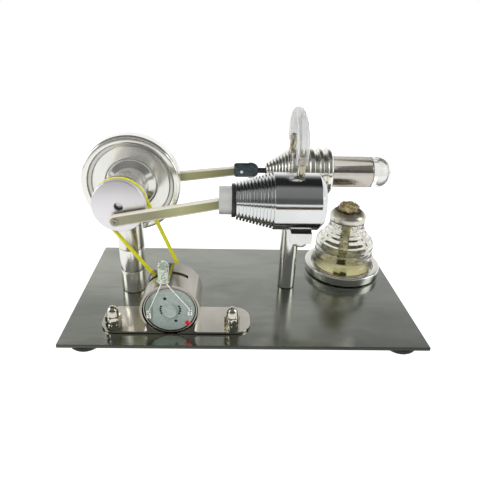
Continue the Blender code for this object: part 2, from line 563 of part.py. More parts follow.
# clamp: flanges on the plate and a strap over the motor, one sheet
LOW = TOP + 0.3
OUTER = CLAMP_RADIUS + CLAMP_THICK
sheet = [(-71.8, LOW), (MOTOR_X - CLAMP_RADIUS, LOW)]
sheet += [(MOTOR_X - CLAMP_RADIUS * math.cos(math.pi * k / 20),
           MOTOR_Z + CLAMP_RADIUS * math.sin(math.pi * k / 20)) for k in range(21)]
sheet += [(MOTOR_X + CLAMP_RADIUS, LOW), (3.4, LOW), (3.4, LOW + CLAMP_THICK),
          (MOTOR_X + OUTER, LOW + CLAMP_THICK)]
sheet += [(MOTOR_X + OUTER * math.cos(math.pi * k / 20), MOTOR_Z + OUTER * math.sin(math.pi * k / 20))
          for k in range(21)]
sheet += [(MOTOR_X - OUTER, LOW + CLAMP_THICK), (-71.8, LOW + CLAMP_THICK)]
clamp = extruded("motor_clamp", sheet, "Y", CLAMP_FRONT, CLAMP_BACK, NICKEL)
boolean(clamp, round_cutters("clamp_holes", [
    ("Z", (x, STUD_Y, 0), LOW - 2, LOW + 4, 2.3) for x in (STUD_LEFT_X, STUD_RIGHT_X)]))


def corner_cutter(name, x, y, side_x, side_y, radius):
    """Block with a quarter-round bite, to round one vertical corner of the clamp."""
    centre = (x - side_x * radius, y - side_y * radius)
    outline = [(x + side_x * 2, y + side_y * 2), (x + side_x * 2, centre[1])]
    for k in range(7):
        turn = math.pi / 2 * k / 6
        outline.append((centre[0] + side_x * radius * math.cos(turn),
                        centre[1] + side_y * radius * math.sin(turn)))
    outline.append((centre[0], y + side_y * 2))
    return extruded(name, outline, "Z", LOW - 1, LOW + 3, None)


for tag, x, y, side_x, side_y in (("a", -71.8, CLAMP_FRONT, -1, -1), ("b", -71.8, CLAMP_BACK, -1, 1),
                                  ("c", 3.4, CLAMP_FRONT, 1, -1), ("d", 3.4, CLAMP_BACK, 1, 1)):
    boolean(clamp, corner_cutter("clamp_corner_" + tag, x, y, side_x, side_y, 8.0))


def arc_cutter(name, start, end, low_y, high_y):
    """Curved block through the strap between two angles, measured from +X about the motor axis."""
    outline = []
    for k in range(7):
        turn = math.radians(start + (end - start) * k / 6)
        outline.append((MOTOR_X + (CLAMP_RADIUS - 1) * math.cos(turn),
                        MOTOR_Z + (CLAMP_RADIUS - 1) * math.sin(turn)))
    for k in range(7):
        turn = math.radians(end + (start - end) * k / 6)
        outline.append((MOTOR_X + (OUTER + 1) * math.cos(turn), MOTOR_Z + (OUTER + 1) * math.sin(turn)))
    return extruded(name, outline, "Y", low_y, high_y, None)


boolean(clamp, arc_cutter("clamp_slot_right", 56, 88, -31.0, -28.6))
boolean(clamp, arc_cutter("clamp_slot_left", 116, 140, -31.0, -28.6))


def hexagon(x, y, across_flats):
    corner = across_flats / math.sqrt(3)
    turns = [math.radians(60 * k + 15) for k in range(6)]
    return [(x + corner * math.cos(turn), y + corner * math.sin(turn)) for turn in turns]


for tag, x in (("left", STUD_LEFT_X), ("right", STUD_RIGHT_X)):
    turned("clamp_bolt_" + tag,
           [(1.4, 0), (1.4, 2.9), (2.0, 3.5), (FOOT_HEIGHT - GAP, 3.5), (FOOT_HEIGHT - GAP, 1.95),
            (LOW + 9.5, 1.95), (LOW + 9.5, 0)], "Z", (x, STUD_Y, 0), 10, STEEL)
    nut_low = LOW + CLAMP_THICK + 0.2
    nut = extruded("hex_nut_" + tag, hexagon(x, STUD_Y, 7.0), "Z", nut_low, nut_low + 3.3, NICKEL, sharp=20)
    boolean(nut, round_cutters("nut_hole_" + tag, [("Z", (x, STUD_Y, 0), nut_low - 1, nut_low + 5, 2.25)]))
    cap_low = nut_low + 3.5
    acorn = turned("acorn_nut_" + tag,
                   [(cap_low + 3.3, 0), (cap_low + 3.3, 3.2), (cap_low + 5.6, 3.0), (cap_low + 7.4, 2.2),
                    (cap_low + 8.4, 1.1), (cap_low + 8.7, 0)], "Z", (x, STUD_Y, 0), 12, NICKEL)
    base = extruded("acorn_base_" + tag, hexagon(x, STUD_Y, 7.0), "Z", cap_low, cap_low + 3.6, None)
    boolean(acorn, base, 'UNION')
    boolean(acorn, round_cutters("acorn_hole_" + tag, [
        ("Z", (x, STUD_Y, 0), cap_low - 1, cap_low + 5, 2.25)]))

# ---------------------------------------------------------------- belt and motor pulley
motor_pivot = (MOTOR_X, 0, MOTOR_Z)
turned("motor_shaft", rod_profile(-30.7, BELT_Y + 3.6, 1.0), "Y", motor_axis, 12, STEEL, motor_pivot)
MG = MOTOR_BELT_RADIUS - BELT_RADIUS - GAP
turned("motor_pulley",
       [(BELT_Y - 2.6, 1.3), (BELT_Y - 2.6, MOTOR_BELT_RADIUS + 1.4), (BELT_Y - 1.8, MOTOR_BELT_RADIUS + 1.4),
        (BELT_Y - 1.1, MG), (BELT_Y + 1.1, MG), (BELT_Y + 1.8, MOTOR_BELT_RADIUS + 1.4),
        (BELT_Y + 2.6, MOTOR_BELT_RADIUS + 1.4), (BELT_Y + 2.6, 1.3)],
       "Y", motor_axis, 18, ((0.75, 0.58, 0.22), 0.3, 1.0), motor_pivot)

span = Vector((MOTOR_X - CRANK_X, 0, MOTOR_Z - CRANK_Z))
bearing_angle = math.atan2(span.z, span.x)
open_angle = math.acos((PULLEY_BELT_RADIUS - MOTOR_BELT_RADIUS) / span.length)
belt_path = []
for k in range(17):
    turn = bearing_angle + open_angle + (2 * math.pi - 2 * open_angle) * k / 16
    belt_path.append((CRANK_X + PULLEY_BELT_RADIUS * math.cos(turn), BELT_Y,
                      CRANK_Z + PULLEY_BELT_RADIUS * math.sin(turn)))
for k in range(9):
    turn = bearing_angle - open_angle + 2 * open_angle * k / 8
    belt_path.append((MOTOR_X + MOTOR_BELT_RADIUS * math.cos(turn), BELT_Y,
                      MOTOR_Z + MOTOR_BELT_RADIUS * math.sin(turn)))
swept("drive_belt", belt_path, BELT_RADIUS, 0, 6, ((0.85, 0.75, 0.03), 0.5, 0.0), closed=True)

# ---------------------------------------------------------------- burner: dish, glass lamp, collar, wick
lamp_pivot = (LAMP_X, LAMP_Y, TOP)
lamp_point = (LAMP_X, LAMP_Y, 0)
T = TOP
turned("lamp_dish",
       [(T + GAP, 0), (T + GAP, DISH_RADIUS - 0.3), (T + 0.6, DISH_RADIUS),
        (T + DISH_HEIGHT - 0.4, DISH_RADIUS), (T + DISH_HEIGHT, DISH_RADIUS - 0.4),
        (T + DISH_HEIGHT, 19.2), (T + DISH_HEIGHT - 0.4, 18.8), (T + 2.0, 18.6), (T + 2.0, 0)],
       "Z", lamp_point, 24, STEEL, lamp_pivot)
turned("lamp_glass",
       [(T + 2.3, 0), (T + 2.3, 16.4), (T + 3.2, 17.2), (T + 14.6, 17.2), (T + 16.2, 16.2), (T + 17.4, 16.9),
        (T + 19.0, 17.4), (T + 21.2, 16.9), (T + 23.4, 15.0), (T + 25.2, 12.8), (T + 27.2, 11.0),
        (T + 29.5, 10.4), (T + 34.1, 10.2), (T + 34.1, 8.6), (T + 29.5, 8.8), (T + 26.6, 9.7),
        (T + 24.2, 11.6), (T + 22.2, 13.9), (T + 20.4, 15.2), (T + 19.0, 15.7), (T + 16.2, 14.6),
        (T + 14.2, 15.6), (T + 4.2, 15.6), (T + 4.2, 0)],
       "Z", lamp_point, 16, CLEAR, lamp_pivot)
turned("lamp_fuel",
       [(T + 4.5, 0), (T + 4.5, 15.2), (T + 11.5, 15.2), (T + 11.5, 3.3), (T + 6.0, 3.3), (T + 6.0, 0)],
       "Z", lamp_point, 16, ((0.75, 0.7, 0.4), 0.05, 0.0, 0.5), lamp_pivot)
turned("lamp_collar",
       [(T + 34.4, 9.4), (T + 34.4, 10.5), (T + 37.4, 10.4), (T + 38.9, 9.4), (T + 40.2, 7.9),
        (T + 41.0, 6.4), (T + 40.4, 6.0), (T + 39.6, 7.3), (T + 38.4, 8.6), (T + 37.0, 9.4)], "Z", lamp_point, 20, ((0.5, 0.48, 0.42), 0.35, 1.0), lamp_pivot)
turned("lamp_wick",
       [(T + 6.4, 0), (T + 6.4, 3.0), (T + 37.0, 3.2), (T + 39.0, 5.2), (T + 41.4, 5.7), (T + 43.5, 6.2),
        (T + 45.2, 4.9), (T + 46.4, 2.6), (T + 46.6, 0)], "Z", lamp_point, 14,
       ((0.42, 0.35, 0.2), 0.9, 0.0), lamp_pivot)
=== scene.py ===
"""Looks of the hot-air (Stirling) engine model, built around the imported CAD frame. Metres, +Z up."""

import math
import random

import bmesh
import bpy
from mathutils import Matrix, Vector, noise


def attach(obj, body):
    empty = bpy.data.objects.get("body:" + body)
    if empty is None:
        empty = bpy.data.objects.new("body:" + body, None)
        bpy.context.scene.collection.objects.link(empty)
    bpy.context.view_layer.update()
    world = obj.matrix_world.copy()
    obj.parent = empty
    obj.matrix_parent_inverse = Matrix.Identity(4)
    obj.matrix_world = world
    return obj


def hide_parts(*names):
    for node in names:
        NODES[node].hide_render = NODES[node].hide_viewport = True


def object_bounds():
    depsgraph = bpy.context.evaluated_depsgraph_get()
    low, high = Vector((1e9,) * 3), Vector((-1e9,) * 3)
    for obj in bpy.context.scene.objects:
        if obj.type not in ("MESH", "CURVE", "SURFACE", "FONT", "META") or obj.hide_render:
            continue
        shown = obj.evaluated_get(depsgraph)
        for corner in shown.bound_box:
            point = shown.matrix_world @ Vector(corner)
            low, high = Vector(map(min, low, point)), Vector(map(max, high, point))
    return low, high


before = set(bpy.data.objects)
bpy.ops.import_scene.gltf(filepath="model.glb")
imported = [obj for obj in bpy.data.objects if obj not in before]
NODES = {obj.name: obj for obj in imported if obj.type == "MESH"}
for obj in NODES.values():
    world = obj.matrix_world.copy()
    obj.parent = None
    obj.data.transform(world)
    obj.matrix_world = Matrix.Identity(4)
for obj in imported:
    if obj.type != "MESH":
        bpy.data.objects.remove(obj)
CAD_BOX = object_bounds()

MM = 0.001
# driving places, in millimetres; MOTOR is on the motor's front face, LAMP on the plate's top
TOP = 6.0
CRANK = Vector((-61.5, 0, TOP + 59.5))
CYL_Z = TOP + 64.9
POWER_Y = -24.5
HOT_Y = 22.2
POWER_PORT_X = 24.2
HOT_PORT_X = 27.2
POST1 = (CRANK.x, 1.5, 0)
POST2 = (26.6, 5.5, 0)
BAR_TOP = TOP + 50.9
BAR_BOTTOM = TOP + 45.5
MOTOR = Vector((-36.2, -40.5, TOP + 13.6))
LAMP = Vector((63.9, 24.9, TOP))
CLAMP_SCREW_Y = -37.4
CLAMP_SCREWS = (("left", -64.8), ("right", -6.0))

DEG = math.pi / 180
AXES = {"X": Vector((1, 0, 0)), "Y": Vector((0, 1, 0)), "Z": Vector((0, 0, 1))}
OUTWARD = {"X": Vector((0, 0, 1)), "Y": Vector((0, 0, 1)), "Z": Vector((1, 0, 0))}

# ---------------- materials
class Tree:
    """A small helper for writing a node tree."""

    def __init__(self, tree):
        self.tree = tree

    def add(self, kind, **values):
        node = self.tree.nodes.new(kind)
        for key, value in values.items():
            setattr(node, key, value)
        return node

    def link(self, a, b):
        self.tree.links.new(a, b)

    def calculate(self, operation, *terms):
        """Result of a Math node; each term is a number or another node's output."""
        node = self.add("ShaderNodeMath", operation=operation)
        for socket, term in zip(node.inputs, terms):
            if isinstance(term, (int, float)):
                socket.default_value = term
            else:
                self.link(term, socket)
        return node.outputs[0]

    def ramp(self, value, *stops):
        """stops are (position, grey or colour)."""
        node = self.add("ShaderNodeValToRGB")
        elements = node.color_ramp.elements
        while len(elements) < len(stops):
            elements.new(0.5)
        for element, (at, colour) in zip(elements, stops):
            element.position = at
            if isinstance(colour, (int, float)):
                colour = (colour, colour, colour)
            element.color = (*colour, 1)
        self.link(value, node.inputs["Fac"])
        return node.outputs["Color"]


class Nodes(Tree):
    """A material's node tree around its Principled BSDF."""

    def __init__(self, name):
        self.mat = bpy.data.materials.new(name)
        self.mat.use_nodes = True
        super().__init__(self.mat.node_tree)
        self.shader = self.tree.nodes["Principled BSDF"]
        self.where = self.add("ShaderNodeTexCoord").outputs["Object"]

    def set(self, **values):
        """Sets numbers on the shader's inputs and links node outputs to them."""
        for key, value in values.items():
            socket = self.shader.inputs[key.replace("_", " ")]
            if isinstance(value, bpy.types.NodeSocket):
                self.link(value, socket)
            else:
                socket.default_value = value

    def noise(self, scale, stretch=(1, 1, 1), detail=3.0, rough=0.5, distort=0.0, where=None):
        mapping = self.add("ShaderNodeMapping")
        mapping.inputs["Scale"].default_value = stretch
        self.link(where or self.where, mapping.inputs["Vector"])
        tex = self.add("ShaderNodeTexNoise")
        values = {"Scale": scale, "Detail": detail, "Roughness": rough, "Distortion": distort}
        for key, value in values.items():
            tex.inputs[key].default_value = value
        self.link(mapping.outputs["Vector"], tex.inputs["Vector"])
        return tex.outputs["Fac"]

    def bump(self, height, strength, distance=0.0002):
        node = self.add("ShaderNodeBump")
        node.inputs["Strength"].default_value = strength
        node.inputs["Distance"].default_value = distance
        self.link(height, node.inputs["Height"])
        return node.outputs["Normal"]

    def multiply(self, a, b, factor=1.0):
        """The first colour, darkened by the second."""
        mix = self.add("ShaderNodeMix", data_type='RGBA', blend_type='MULTIPLY')
        mix.inputs["Factor"].default_value = factor
        self.link(a, mix.inputs[6])
        self.link(b, mix.inputs[7])
        return mix.outputs[2]

    def coordinate(self, axis, where=None):
        split = self.add("ShaderNodeSeparateXYZ")
        self.link(where or self.where, split.inputs[0])
        return split.outputs[axis]

    def between(self, axis, low, high):
        """How far a point is from low (0) to high (1) along an axis, both in millimetres."""
        span = self.add("ShaderNodeMapRange")
        span.inputs["From Min"].default_value = low * MM
        span.inputs["From Max"].default_value = high * MM
        self.link(self.coordinate(axis), span.inputs["Value"])
        return span.outputs["Result"]

    def radius(self, centre, axis):
        """Distance from an axis, and distance along it, at each surface point."""
        shift = self.add("ShaderNodeVectorMath", operation='SUBTRACT')
        shift.inputs[1].default_value = Vector(centre) * MM
        self.link(self.where, shift.inputs[0])
        flat = self.add("ShaderNodeVectorMath", operation='MULTIPLY')
        flat.inputs[1].default_value = Vector((1, 1, 1)) - AXES[axis]
        self.link(shift.outputs[0], flat.inputs[0])
        length = self.add("ShaderNodeVectorMath", operation='LENGTH')
        self.link(flat.outputs[0], length.inputs[0])
        return length.outputs["Value"], self.coordinate(axis, shift.outputs[0])


def tones(colour, tint):
    """Ramp stops a little darker and a little lighter than a colour."""
    return (0.3, [c * (1 - tint) for c in colour]), (0.7, [min(1, c * (1 + tint)) for c in colour])


def turned_metal(name, colour, centre, axis, rough, spread, lines, tint, matte=0.0, painted_shade_rings=None, reach=1):
    """Lathe-finished metal: fine rings that follow the radius and the length of the part, and optional rings
    of painted shade and highlight set by radius.
    """
    n = Nodes(name)
    radius, along = n.radius(centre, axis)
    both = n.add("ShaderNodeCombineXYZ")
    n.link(radius, both.inputs[0])
    n.link(along, both.inputs[1])
    rings = n.noise(2600, where=both.outputs[0], detail=4, rough=0.6)
    base = n.ramp(n.noise(70, detail=4, rough=0.6), *tones(colour, tint))
    # painted shade and highlight: the colour is darkened or lightened in rings by radius
    if painted_shade_rings:
        base = n.multiply(base, n.ramp(n.calculate('DIVIDE', radius, reach * MM), *painted_shade_rings))
    n.set(Base_Color=base, Roughness=n.ramp(rings, (0.3, rough - spread), (0.7, rough + spread)),
          Normal=n.bump(rings, lines), Metallic=1 - matte)
    return n.mat


def polished(name, colour, rough=0.12, spread=0.05, scale=180, stretch=(1, 1, 1), lines=0.05, tint=0.06,
             matte=0.0, painted_light_by_height=None):
    """Polished or brushed sheet metal, with faint handling marks; an optional painted light ramp darkens the
    colour with height.
    """
    n = Nodes(name)
    marks = n.noise(scale, stretch, detail=5, rough=0.65)
    base = n.ramp(n.noise(45), *tones(colour, tint))
    # painted reflection and shade: the colour is scaled down with height above the plate
    if painted_light_by_height:
        base = n.multiply(base, n.ramp(n.between("Z", TOP, TOP + 30), *painted_light_by_height))
    n.set(Base_Color=base, Roughness=n.ramp(marks, (0.3, rough - spread), (0.72, rough + spread)),
          Normal=n.bump(marks, lines, 0.0001), Metallic=1 - matte)
    return n.mat


def mottled(name, dark, light, rough, scale=400, bumpy=0.15, detail=5, coarse=0.6, metallic=0.0):
    """Plastic, rubber or paint; rough is (least, most)."""
    n = Nodes(name)
    grain = n.noise(scale, detail=detail, rough=coarse)
    n.set(Base_Color=n.ramp(grain, (0.3, dark), (0.7, light)),
          Roughness=n.ramp(grain, (0.3, rough[0]), (0.7, rough[1])),
          Normal=n.bump(grain, bumpy), Metallic=metallic)
    return n.mat


def clear(name, dark, light, rough, scale=60, detail=2, span=(0.3, 0.7), share=1.0, ior=1.47):
    """Glass, liquid or clear plastic; rough is (least, most)."""
    n = Nodes(name)
    cloud = n.noise(scale, detail=detail)
    n.set(Base_Color=n.ramp(cloud, (span[0], dark), (span[1], light)),
          Roughness=n.ramp(cloud, (0.3, rough[0]), (0.7, rough[1])), Transmission_Weight=share, IOR=ior)
    return n.mat


def plate_steel():
    """Cold-rolled sheet: long faint streaks, soft clouds, near-mirror sheen, a dark cut edge, and painted
    shading that darkens it from its left end to its right.
    """
    n = Nodes("plate_steel")
    cloud = n.noise(22, (0.7, 1.6, 1), detail=5, rough=0.6, distort=0.6)
    streak = n.noise(260, (0.05, 1, 1), detail=5, rough=0.7)
    base = n.ramp(cloud, (0.28, (0.34, 0.365, 0.335)), (0.5, (0.47, 0.49, 0.45)), (0.72, (0.58, 0.595, 0.55)))
    base = n.multiply(base, n.ramp(streak, (0.2, 0.8), (0.8, 1.0)), 0.6)
    shares = [n.calculate('ABSOLUTE', n.calculate('DIVIDE', n.coordinate(axis), half * MM))
              for axis, half in (("X", 90), ("Y", 50))]
    base = n.multiply(base, n.ramp(n.calculate('MAXIMUM', *shares), (0.9985, 1.0), (0.9995, 0.22)))
    # painted shading: the sheet is lighter and warmer at its left end and darker towards its right end
    base = n.multiply(base, n.ramp(n.between("X", -90, 90), (0.0, (1.0, 1.0, 0.96)), (0.3, (0.9, 0.9, 0.86)),
                                   (1.0, (0.70, 0.71, 0.70))))
    n.set(Base_Color=base, Roughness=n.ramp(cloud, (0.3, 0.13), (0.7, 0.21)),
          Normal=n.bump(streak, 0.05, 0.0001), Metallic=1.0)
    return n.mat


def rod_plastic():
    """Frosted translucent plastic, yellowed, with an olive tone that changes slowly along the rod."""
    n = Nodes("rod_plastic")
    cloud = n.noise(150, (0.25, 1, 1), detail=4)
    start = -66
    stops = ((-64, (0.36, 0.345, 0.24)), (-45, (0.31, 0.30, 0.18)), (-31, (0.46, 0.45, 0.23)),
             (-20, (0.34, 0.34, 0.15)), (-6, (0.23, 0.215, 0.125)))
    olive = n.ramp(n.between("X", start, 0), *[(1 - x / start, colour) for x, colour in stops])
    n.set(Base_Color=n.multiply(olive, n.ramp(cloud, (0.25, 0.78), (0.75, 1.0)), 0.7),
          Roughness=n.ramp(cloud, (0.3, 0.30), (0.7, 0.42)), Normal=n.bump(n.noise(1800), 0.1),
          Subsurface_Weight=0.15, Subsurface_Scale=0.002, Subsurface_Radius=(1.0, 0.95, 0.6))
    return n.mat


def rod_edge_highlight():
    """The rod's paler rounded edge, a painted highlight along the frosted plastic's edge."""
    n = Nodes("rod_edge_highlight_plastic")
    cloud = n.noise(160, (0.25, 1, 1), detail=4)
    n.set(Base_Color=n.ramp(cloud, (0.25, (0.66, 0.65, 0.53)), (0.75, (0.80, 0.79, 0.68))),
          Roughness=n.ramp(cloud, (0.3, 0.3), (0.7, 0.42)), Normal=n.bump(n.noise(1800), 0.1),
          Subsurface_Weight=0.3, Subsurface_Scale=0.002)
    return n.mat


def cotton(name, dark, light, twist=90.0):
    """Twisted cotton strands, seen as slanting ridges with painted shade in the grooves between them."""
    n = Nodes(name)
    wave = n.add("ShaderNodeTexWave", wave_type='BANDS', bands_direction='DIAGONAL')
    for key, value in (("Scale", twist), ("Distortion", 3.0), ("Detail", 3.0)):
        wave.inputs[key].default_value = value
    n.link(n.where, wave.inputs["Vector"])
    ridges = wave.outputs["Fac"]
    patches = n.noise(240, detail=5, rough=0.75)
    tone = n.ramp(patches, (0.32, dark), (0.62, light))
    # painted shade: the colour is darkened in the grooves between the ridges
    tone = n.multiply(tone, n.ramp(ridges, (0.0, 0.5), (1.0, 1.0)), 0.75)
    n.set(Base_Color=tone, Roughness=n.ramp(patches, (0.3, 0.8), (0.7, 0.95)),
          Normal=n.bump(ridges, 0.6, 0.0004))
    return n.mat


def collar_metal():
    """Nickelled collar, browned and blackened towards its top by the flame."""
    n = Nodes("collar_metal")
    patch = n.calculate('MULTIPLY', n.noise(220, detail=4), 0.35)
    burn = n.calculate('ADD', n.between("Z", TOP + 37.0, TOP + 41.2), patch)
    n.set(Base_Color=n.ramp(burn, (0.0, (0.84, 0.83, 0.76)), (0.5, (0.62, 0.59, 0.48)),
                            (0.95, (0.28, 0.25, 0.17)), (1.0, (0.10, 0.09, 0.06))),
          Roughness=n.ramp(burn, (0.0, 0.26), (0.7, 0.32), (1.0, 0.55)), Metallic=1.0)
    return n.mat


power_c = Vector((0, POWER_Y, CYL_Z))
hot_c = Vector((0, HOT_Y, CYL_Z))

MAT = {
    "disc": turned_metal("pulley_metal", (0.90, 0.88, 0.90), CRANK, "Y", 0.34, 0.03, 0.015, 0.02),
    # flywheel: the darker ring on the recessed step under the rim is painted shade, the slightly lighter rim
    # a painted highlight
    "wheel": turned_metal("flywheel_metal", (0.88, 0.88, 0.83), CRANK, "Y", 0.15, 0.05, 0.025, 0.05, 0.12,
                          ((0.0, 1.0), (0.775, 1.0), (0.785, 0.70), (0.862, 0.70), (0.872, 1.06)), 27),
    "power": turned_metal("power_cylinder_metal", (0.80, 0.82, 0.81), power_c, "X", 0.11, 0.05, 0.2, 0.04),
    "hot": turned_metal("hot_cylinder_metal", (0.93, 0.92, 0.85), hot_c, "X", 0.11, 0.05, 0.10, 0.05, 0.06),
    "post": turned_metal("post_metal", (0.93, 0.92, 0.86), POST1, "Z", 0.19, 0.05, 0.06, 0.04, 0.14),
    "post2": turned_metal("second_post_metal", (0.92, 0.92, 0.88), POST2, "Z", 0.15, 0.05, 0.06, 0.04, 0.08),
    "housing": turned_metal("housing_metal", (0.92, 0.91, 0.86), CRANK, "Y", 0.2, 0.05, 0.05, 0.04, 0.25),
    "dish": turned_metal("dish_steel", (0.92, 0.915, 0.86), (LAMP.x, LAMP.y, 0), "Z", 0.24, 0.07, 0.12, 0.06),
    "tube_metal": turned_metal("displacer_steel", (0.66, 0.62, 0.56), hot_c, "X", 0.13, 0.04, 0.1, 0.05),
    "shaft": polished("shaft_steel", (0.62, 0.62, 0.61), 0.15),
    "bar": polished("crossbar_steel", (0.86, 0.86, 0.84), 0.33, 0.08, 900, (1, 0.05, 1), 0.08),
    "pin": polished("pin_steel", (0.40, 0.39, 0.31), 0.4, 0.06, 600),
    "piston": polished("piston_steel", (0.60, 0.60, 0.585), 0.5, 0.06, 700, (0.1, 1, 1), 0.08, matte=0.65),
    "nickel": polished("nickel_plate", (0.74, 0.71, 0.62), 0.05, 0.02),
    # clamp: its raised base and bright low flanges are a painted reflection of the backdrop, its arch is
    # painted darker
    "clamp": polished("clamp_nickel", (0.84, 0.80, 0.71), 0.16, 0.06, 300, (1, 0.3, 1), 0.08, 0.12,
                      painted_light_by_height=((0.0, 1.0), (0.08, 1.0), (0.3, 0.55), (1.0, 0.48))),
    "can": polished("motor_can_steel", (0.50, 0.46, 0.40), 0.24, 0.07, 500),
    "wire": polished("tinned_wire", (0.84, 0.84, 0.82), 0.18),
    "nozzle": polished("nozzle_steel", (0.48, 0.44, 0.34), 0.06, 0.02),
    "brass": polished("brass", (0.78, 0.60, 0.24), 0.2),
    "black_metal": mottled("black_oxide", (0.012, 0.012, 0.013), (0.03, 0.03, 0.032), (0.25, 0.45)),
    "rubber": mottled("foot_rubber", (0.006, 0.006, 0.006), (0.02, 0.02, 0.02), (0.6, 0.8), 900, 0.3),
    # painted shadow: near-black fill for gaps and holes where only shade is seen
    "pad": mottled("painted_shade_black", (0.004, 0.004, 0.004), (0.012, 0.012, 0.012), (0.5, 0.7), 700),
    "belt": mottled("yellow_belt", (0.74, 0.71, 0.005), (0.93, 0.91, 0.02), (0.4, 0.6), 1500, 0.2),
    "cap": mottled("motor_cap", (0.31, 0.37, 0.34), (0.44, 0.51, 0.47), (0.32, 0.52), 700, 0.12),
    "green": mottled("insulator_green", (0.16, 0.24, 0.17), (0.28, 0.36, 0.26), (0.3, 0.5), 500),
    "red": mottled("red_paint", (0.72, 0.004, 0.012), (0.85, 0.01, 0.02), (0.35, 0.45), 800),
    "bright": mottled("led_frame_silver", (0.80, 0.90, 0.82), (0.98, 1.0, 0.98), (0.2, 0.3), 900),
    "clevis": mottled("clevis_plastic", (0.035, 0.055, 0.06), (0.07, 0.095, 0.10), (0.18, 0.3), 300, 0.05, 4,
                      0.5, 0.35),
    "glass": clear("clear_glass", (0.9456, 0.9456, 0.9259), (0.96, 0.96, 0.94), (0.02, 0.032)),
    "lamp_glass": clear("burner_glass", (0.9259, 0.9161, 0.857), (0.94, 0.93, 0.87), (0.045, 0.072)),
    "fuel": clear("lamp_fuel", (0.93, 0.90, 0.66), (0.97, 0.95, 0.76), (0.02, 0.06), ior=1.36),
    "silicone": clear("clear_silicone", (0.84, 0.845, 0.84), (0.92, 0.92, 0.915), (0.10, 0.18), 140, 3,
                      share=0.93, ior=1.22),
    "led": clear("led_epoxy", (0.86, 1.0, 0.84), (1.0, 1.0, 0.97), (0.03, 0.1), 260, 2, (0.35, 0.65), 0.82,
                 1.45),
    "cotton": cotton("wick_cotton", (0.09, 0.055, 0.015), (0.92, 0.76, 0.42)),
    # painted light: the wick rope in the glass and fuel is coloured far lighter than the dry wick, standing
    # in for light that reaches it only weakly
    "wet_cotton": cotton("wet_wick_cotton_painted_light", (0.56, 0.50, 0.20), (0.84, 0.78, 0.42), 60),
    "plate": plate_steel(),
    "rod": rod_plastic(),
    "rod_edge_highlight": rod_edge_highlight(),
    "collar": collar_metal(),
}


# ---------------- making pieces
def make_object(name, bm):
    """A bmesh drawn in millimetres becomes an object in metres."""
    bmesh.ops.recalc_face_normals(bm, faces=bm.faces)
    bmesh.ops.scale(bm, vec=(MM, MM, MM), verts=bm.verts)
    mesh = bpy.data.meshes.new(name)
    bm.to_mesh(mesh)
    bm.free()
    made = bpy.data.objects.new(name, mesh)
    bpy.context.scene.collection.objects.link(made)
    return made


def finish_mesh(name, bm, mat, body, replaces=None, sharp=32.0):
    """A bmesh becomes a smooth-shaded piece that rides on a body and may stand in for a CAD node."""
    piece = make_object(name, bm)
    piece.data.shade_smooth()
    piece.data.set_sharp_from_angle(angle=math.radians(sharp))
    for key in mat if isinstance(mat, list) else [mat]:
        piece.data.materials.append(MAT[key])
    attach(piece, body)
    if replaces:
        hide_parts(replaces)
    return piece


def circle(steps):
    """Angles of evenly spaced points around a full turn."""
    return [2 * math.pi * k / steps for k in range(steps)]


def skin(bm, low, high, mat=0):
    """Joins two rings of points with faces; a ring of one point is a tip."""
    count = max(len(low), len(high))
    for k in range(count if count > 1 else 0):
        n = (k + 1) % count
        if len(low) == 1:
            corners = (low[0], high[n], high[k])
        elif len(high) == 1:
            corners = (low[k], low[n], high[0])
        else:
            corners = (low[k], low[n], high[n], high[k])
        bm.faces.new(corners).material_index = mat


def eased(profile, size=0.22, segments=3):
    """Rounds every corner of an open (along, radius) profile by up to `size`."""
    points = [Vector(p) for p in profile]
    out = [points[0]]
    for before, here, after in zip(points, points[1:], points[2:]):
        a = before - here
        b = after - here
        cut = min(size, a.length * 0.45, b.length * 0.45)
        if cut < 1e-4 or a.normalized().dot(b.normalized()) < -0.985:
            out.append(here)
            continue
        p = here + a.normalized() * cut
        q = here + b.normalized() * cut
        for k in range(segments + 1):
            t = k / segments
            out.append(p * (1 - t) ** 2 + here * 2 * t * (1 - t) + q * t * t)
    out.append(points[-1])
    return [tuple(p) for p in out]


def lathe(bm, profile, axis, centre, steps=96, closed=False):
    """Revolves a profile of (along, radius) pairs; a closed profile makes a ring."""
    along = AXES[axis]
    out = OUTWARD[axis]
    side = along.cross(out)
    rings = []
    for a, r in profile:
        turns = circle(steps) if r > 1e-6 else [0]
        rings.append([bm.verts.new(Vector(centre) + along * a + (out * math.cos(t) + side * math.sin(t)) * r)
                      for t in turns])
    for low, high in zip(rings, rings[1:] + (rings[:1] if closed else [])):
        skin(bm, low, high)
    return rings


def turned(name, profile, axis, centre, mat, body, replaces=None, steps=96, ease=0.22, closed=None,
           sharp=32.0):
    """A lathe-turned piece; unless told otherwise, its profile closes when it stays off the axis."""
    bm = bmesh.new()
    if closed is None:
        closed = profile[0][1] > 0 and profile[-1][1] > 0
    lathe(bm, eased(profile, ease), axis, centre, steps, closed)
    return finish_mesh(name, bm, mat, body, replaces, sharp)


def tube(bm, path, radius, steps=16, closed=False, caps=True):
    """Round section swept along a path; radius is a number or one per point."""
    points = [Vector(p) for p in path]
    count = len(points)
    normal = Vector((0, 1, 0)) if closed else None
    rings = []
    for i, point in enumerate(points):
        before = points[i - 1] if (closed or i > 0) else point
        after = points[(i + 1) % count] if (closed or i < count - 1) else point
        heading = (after - before).normalized()
        if normal is None:
            normal = heading.orthogonal().normalized()
        normal = (normal - heading * normal.dot(heading)).normalized()
        side = heading.cross(normal)
        r = radius[i] if isinstance(radius, list) else radius
        rings.append([bm.verts.new(point + (normal * math.cos(t) + side * math.sin(t)) * r)
                      for t in circle(steps)])
    for low, high in zip(rings, rings[1:] + (rings[:1] if closed else [])):
        skin(bm, low, high)
    if caps and not closed:
        bm.faces.new(rings[0])
        bm.faces.new(rings[-1])
    return rings


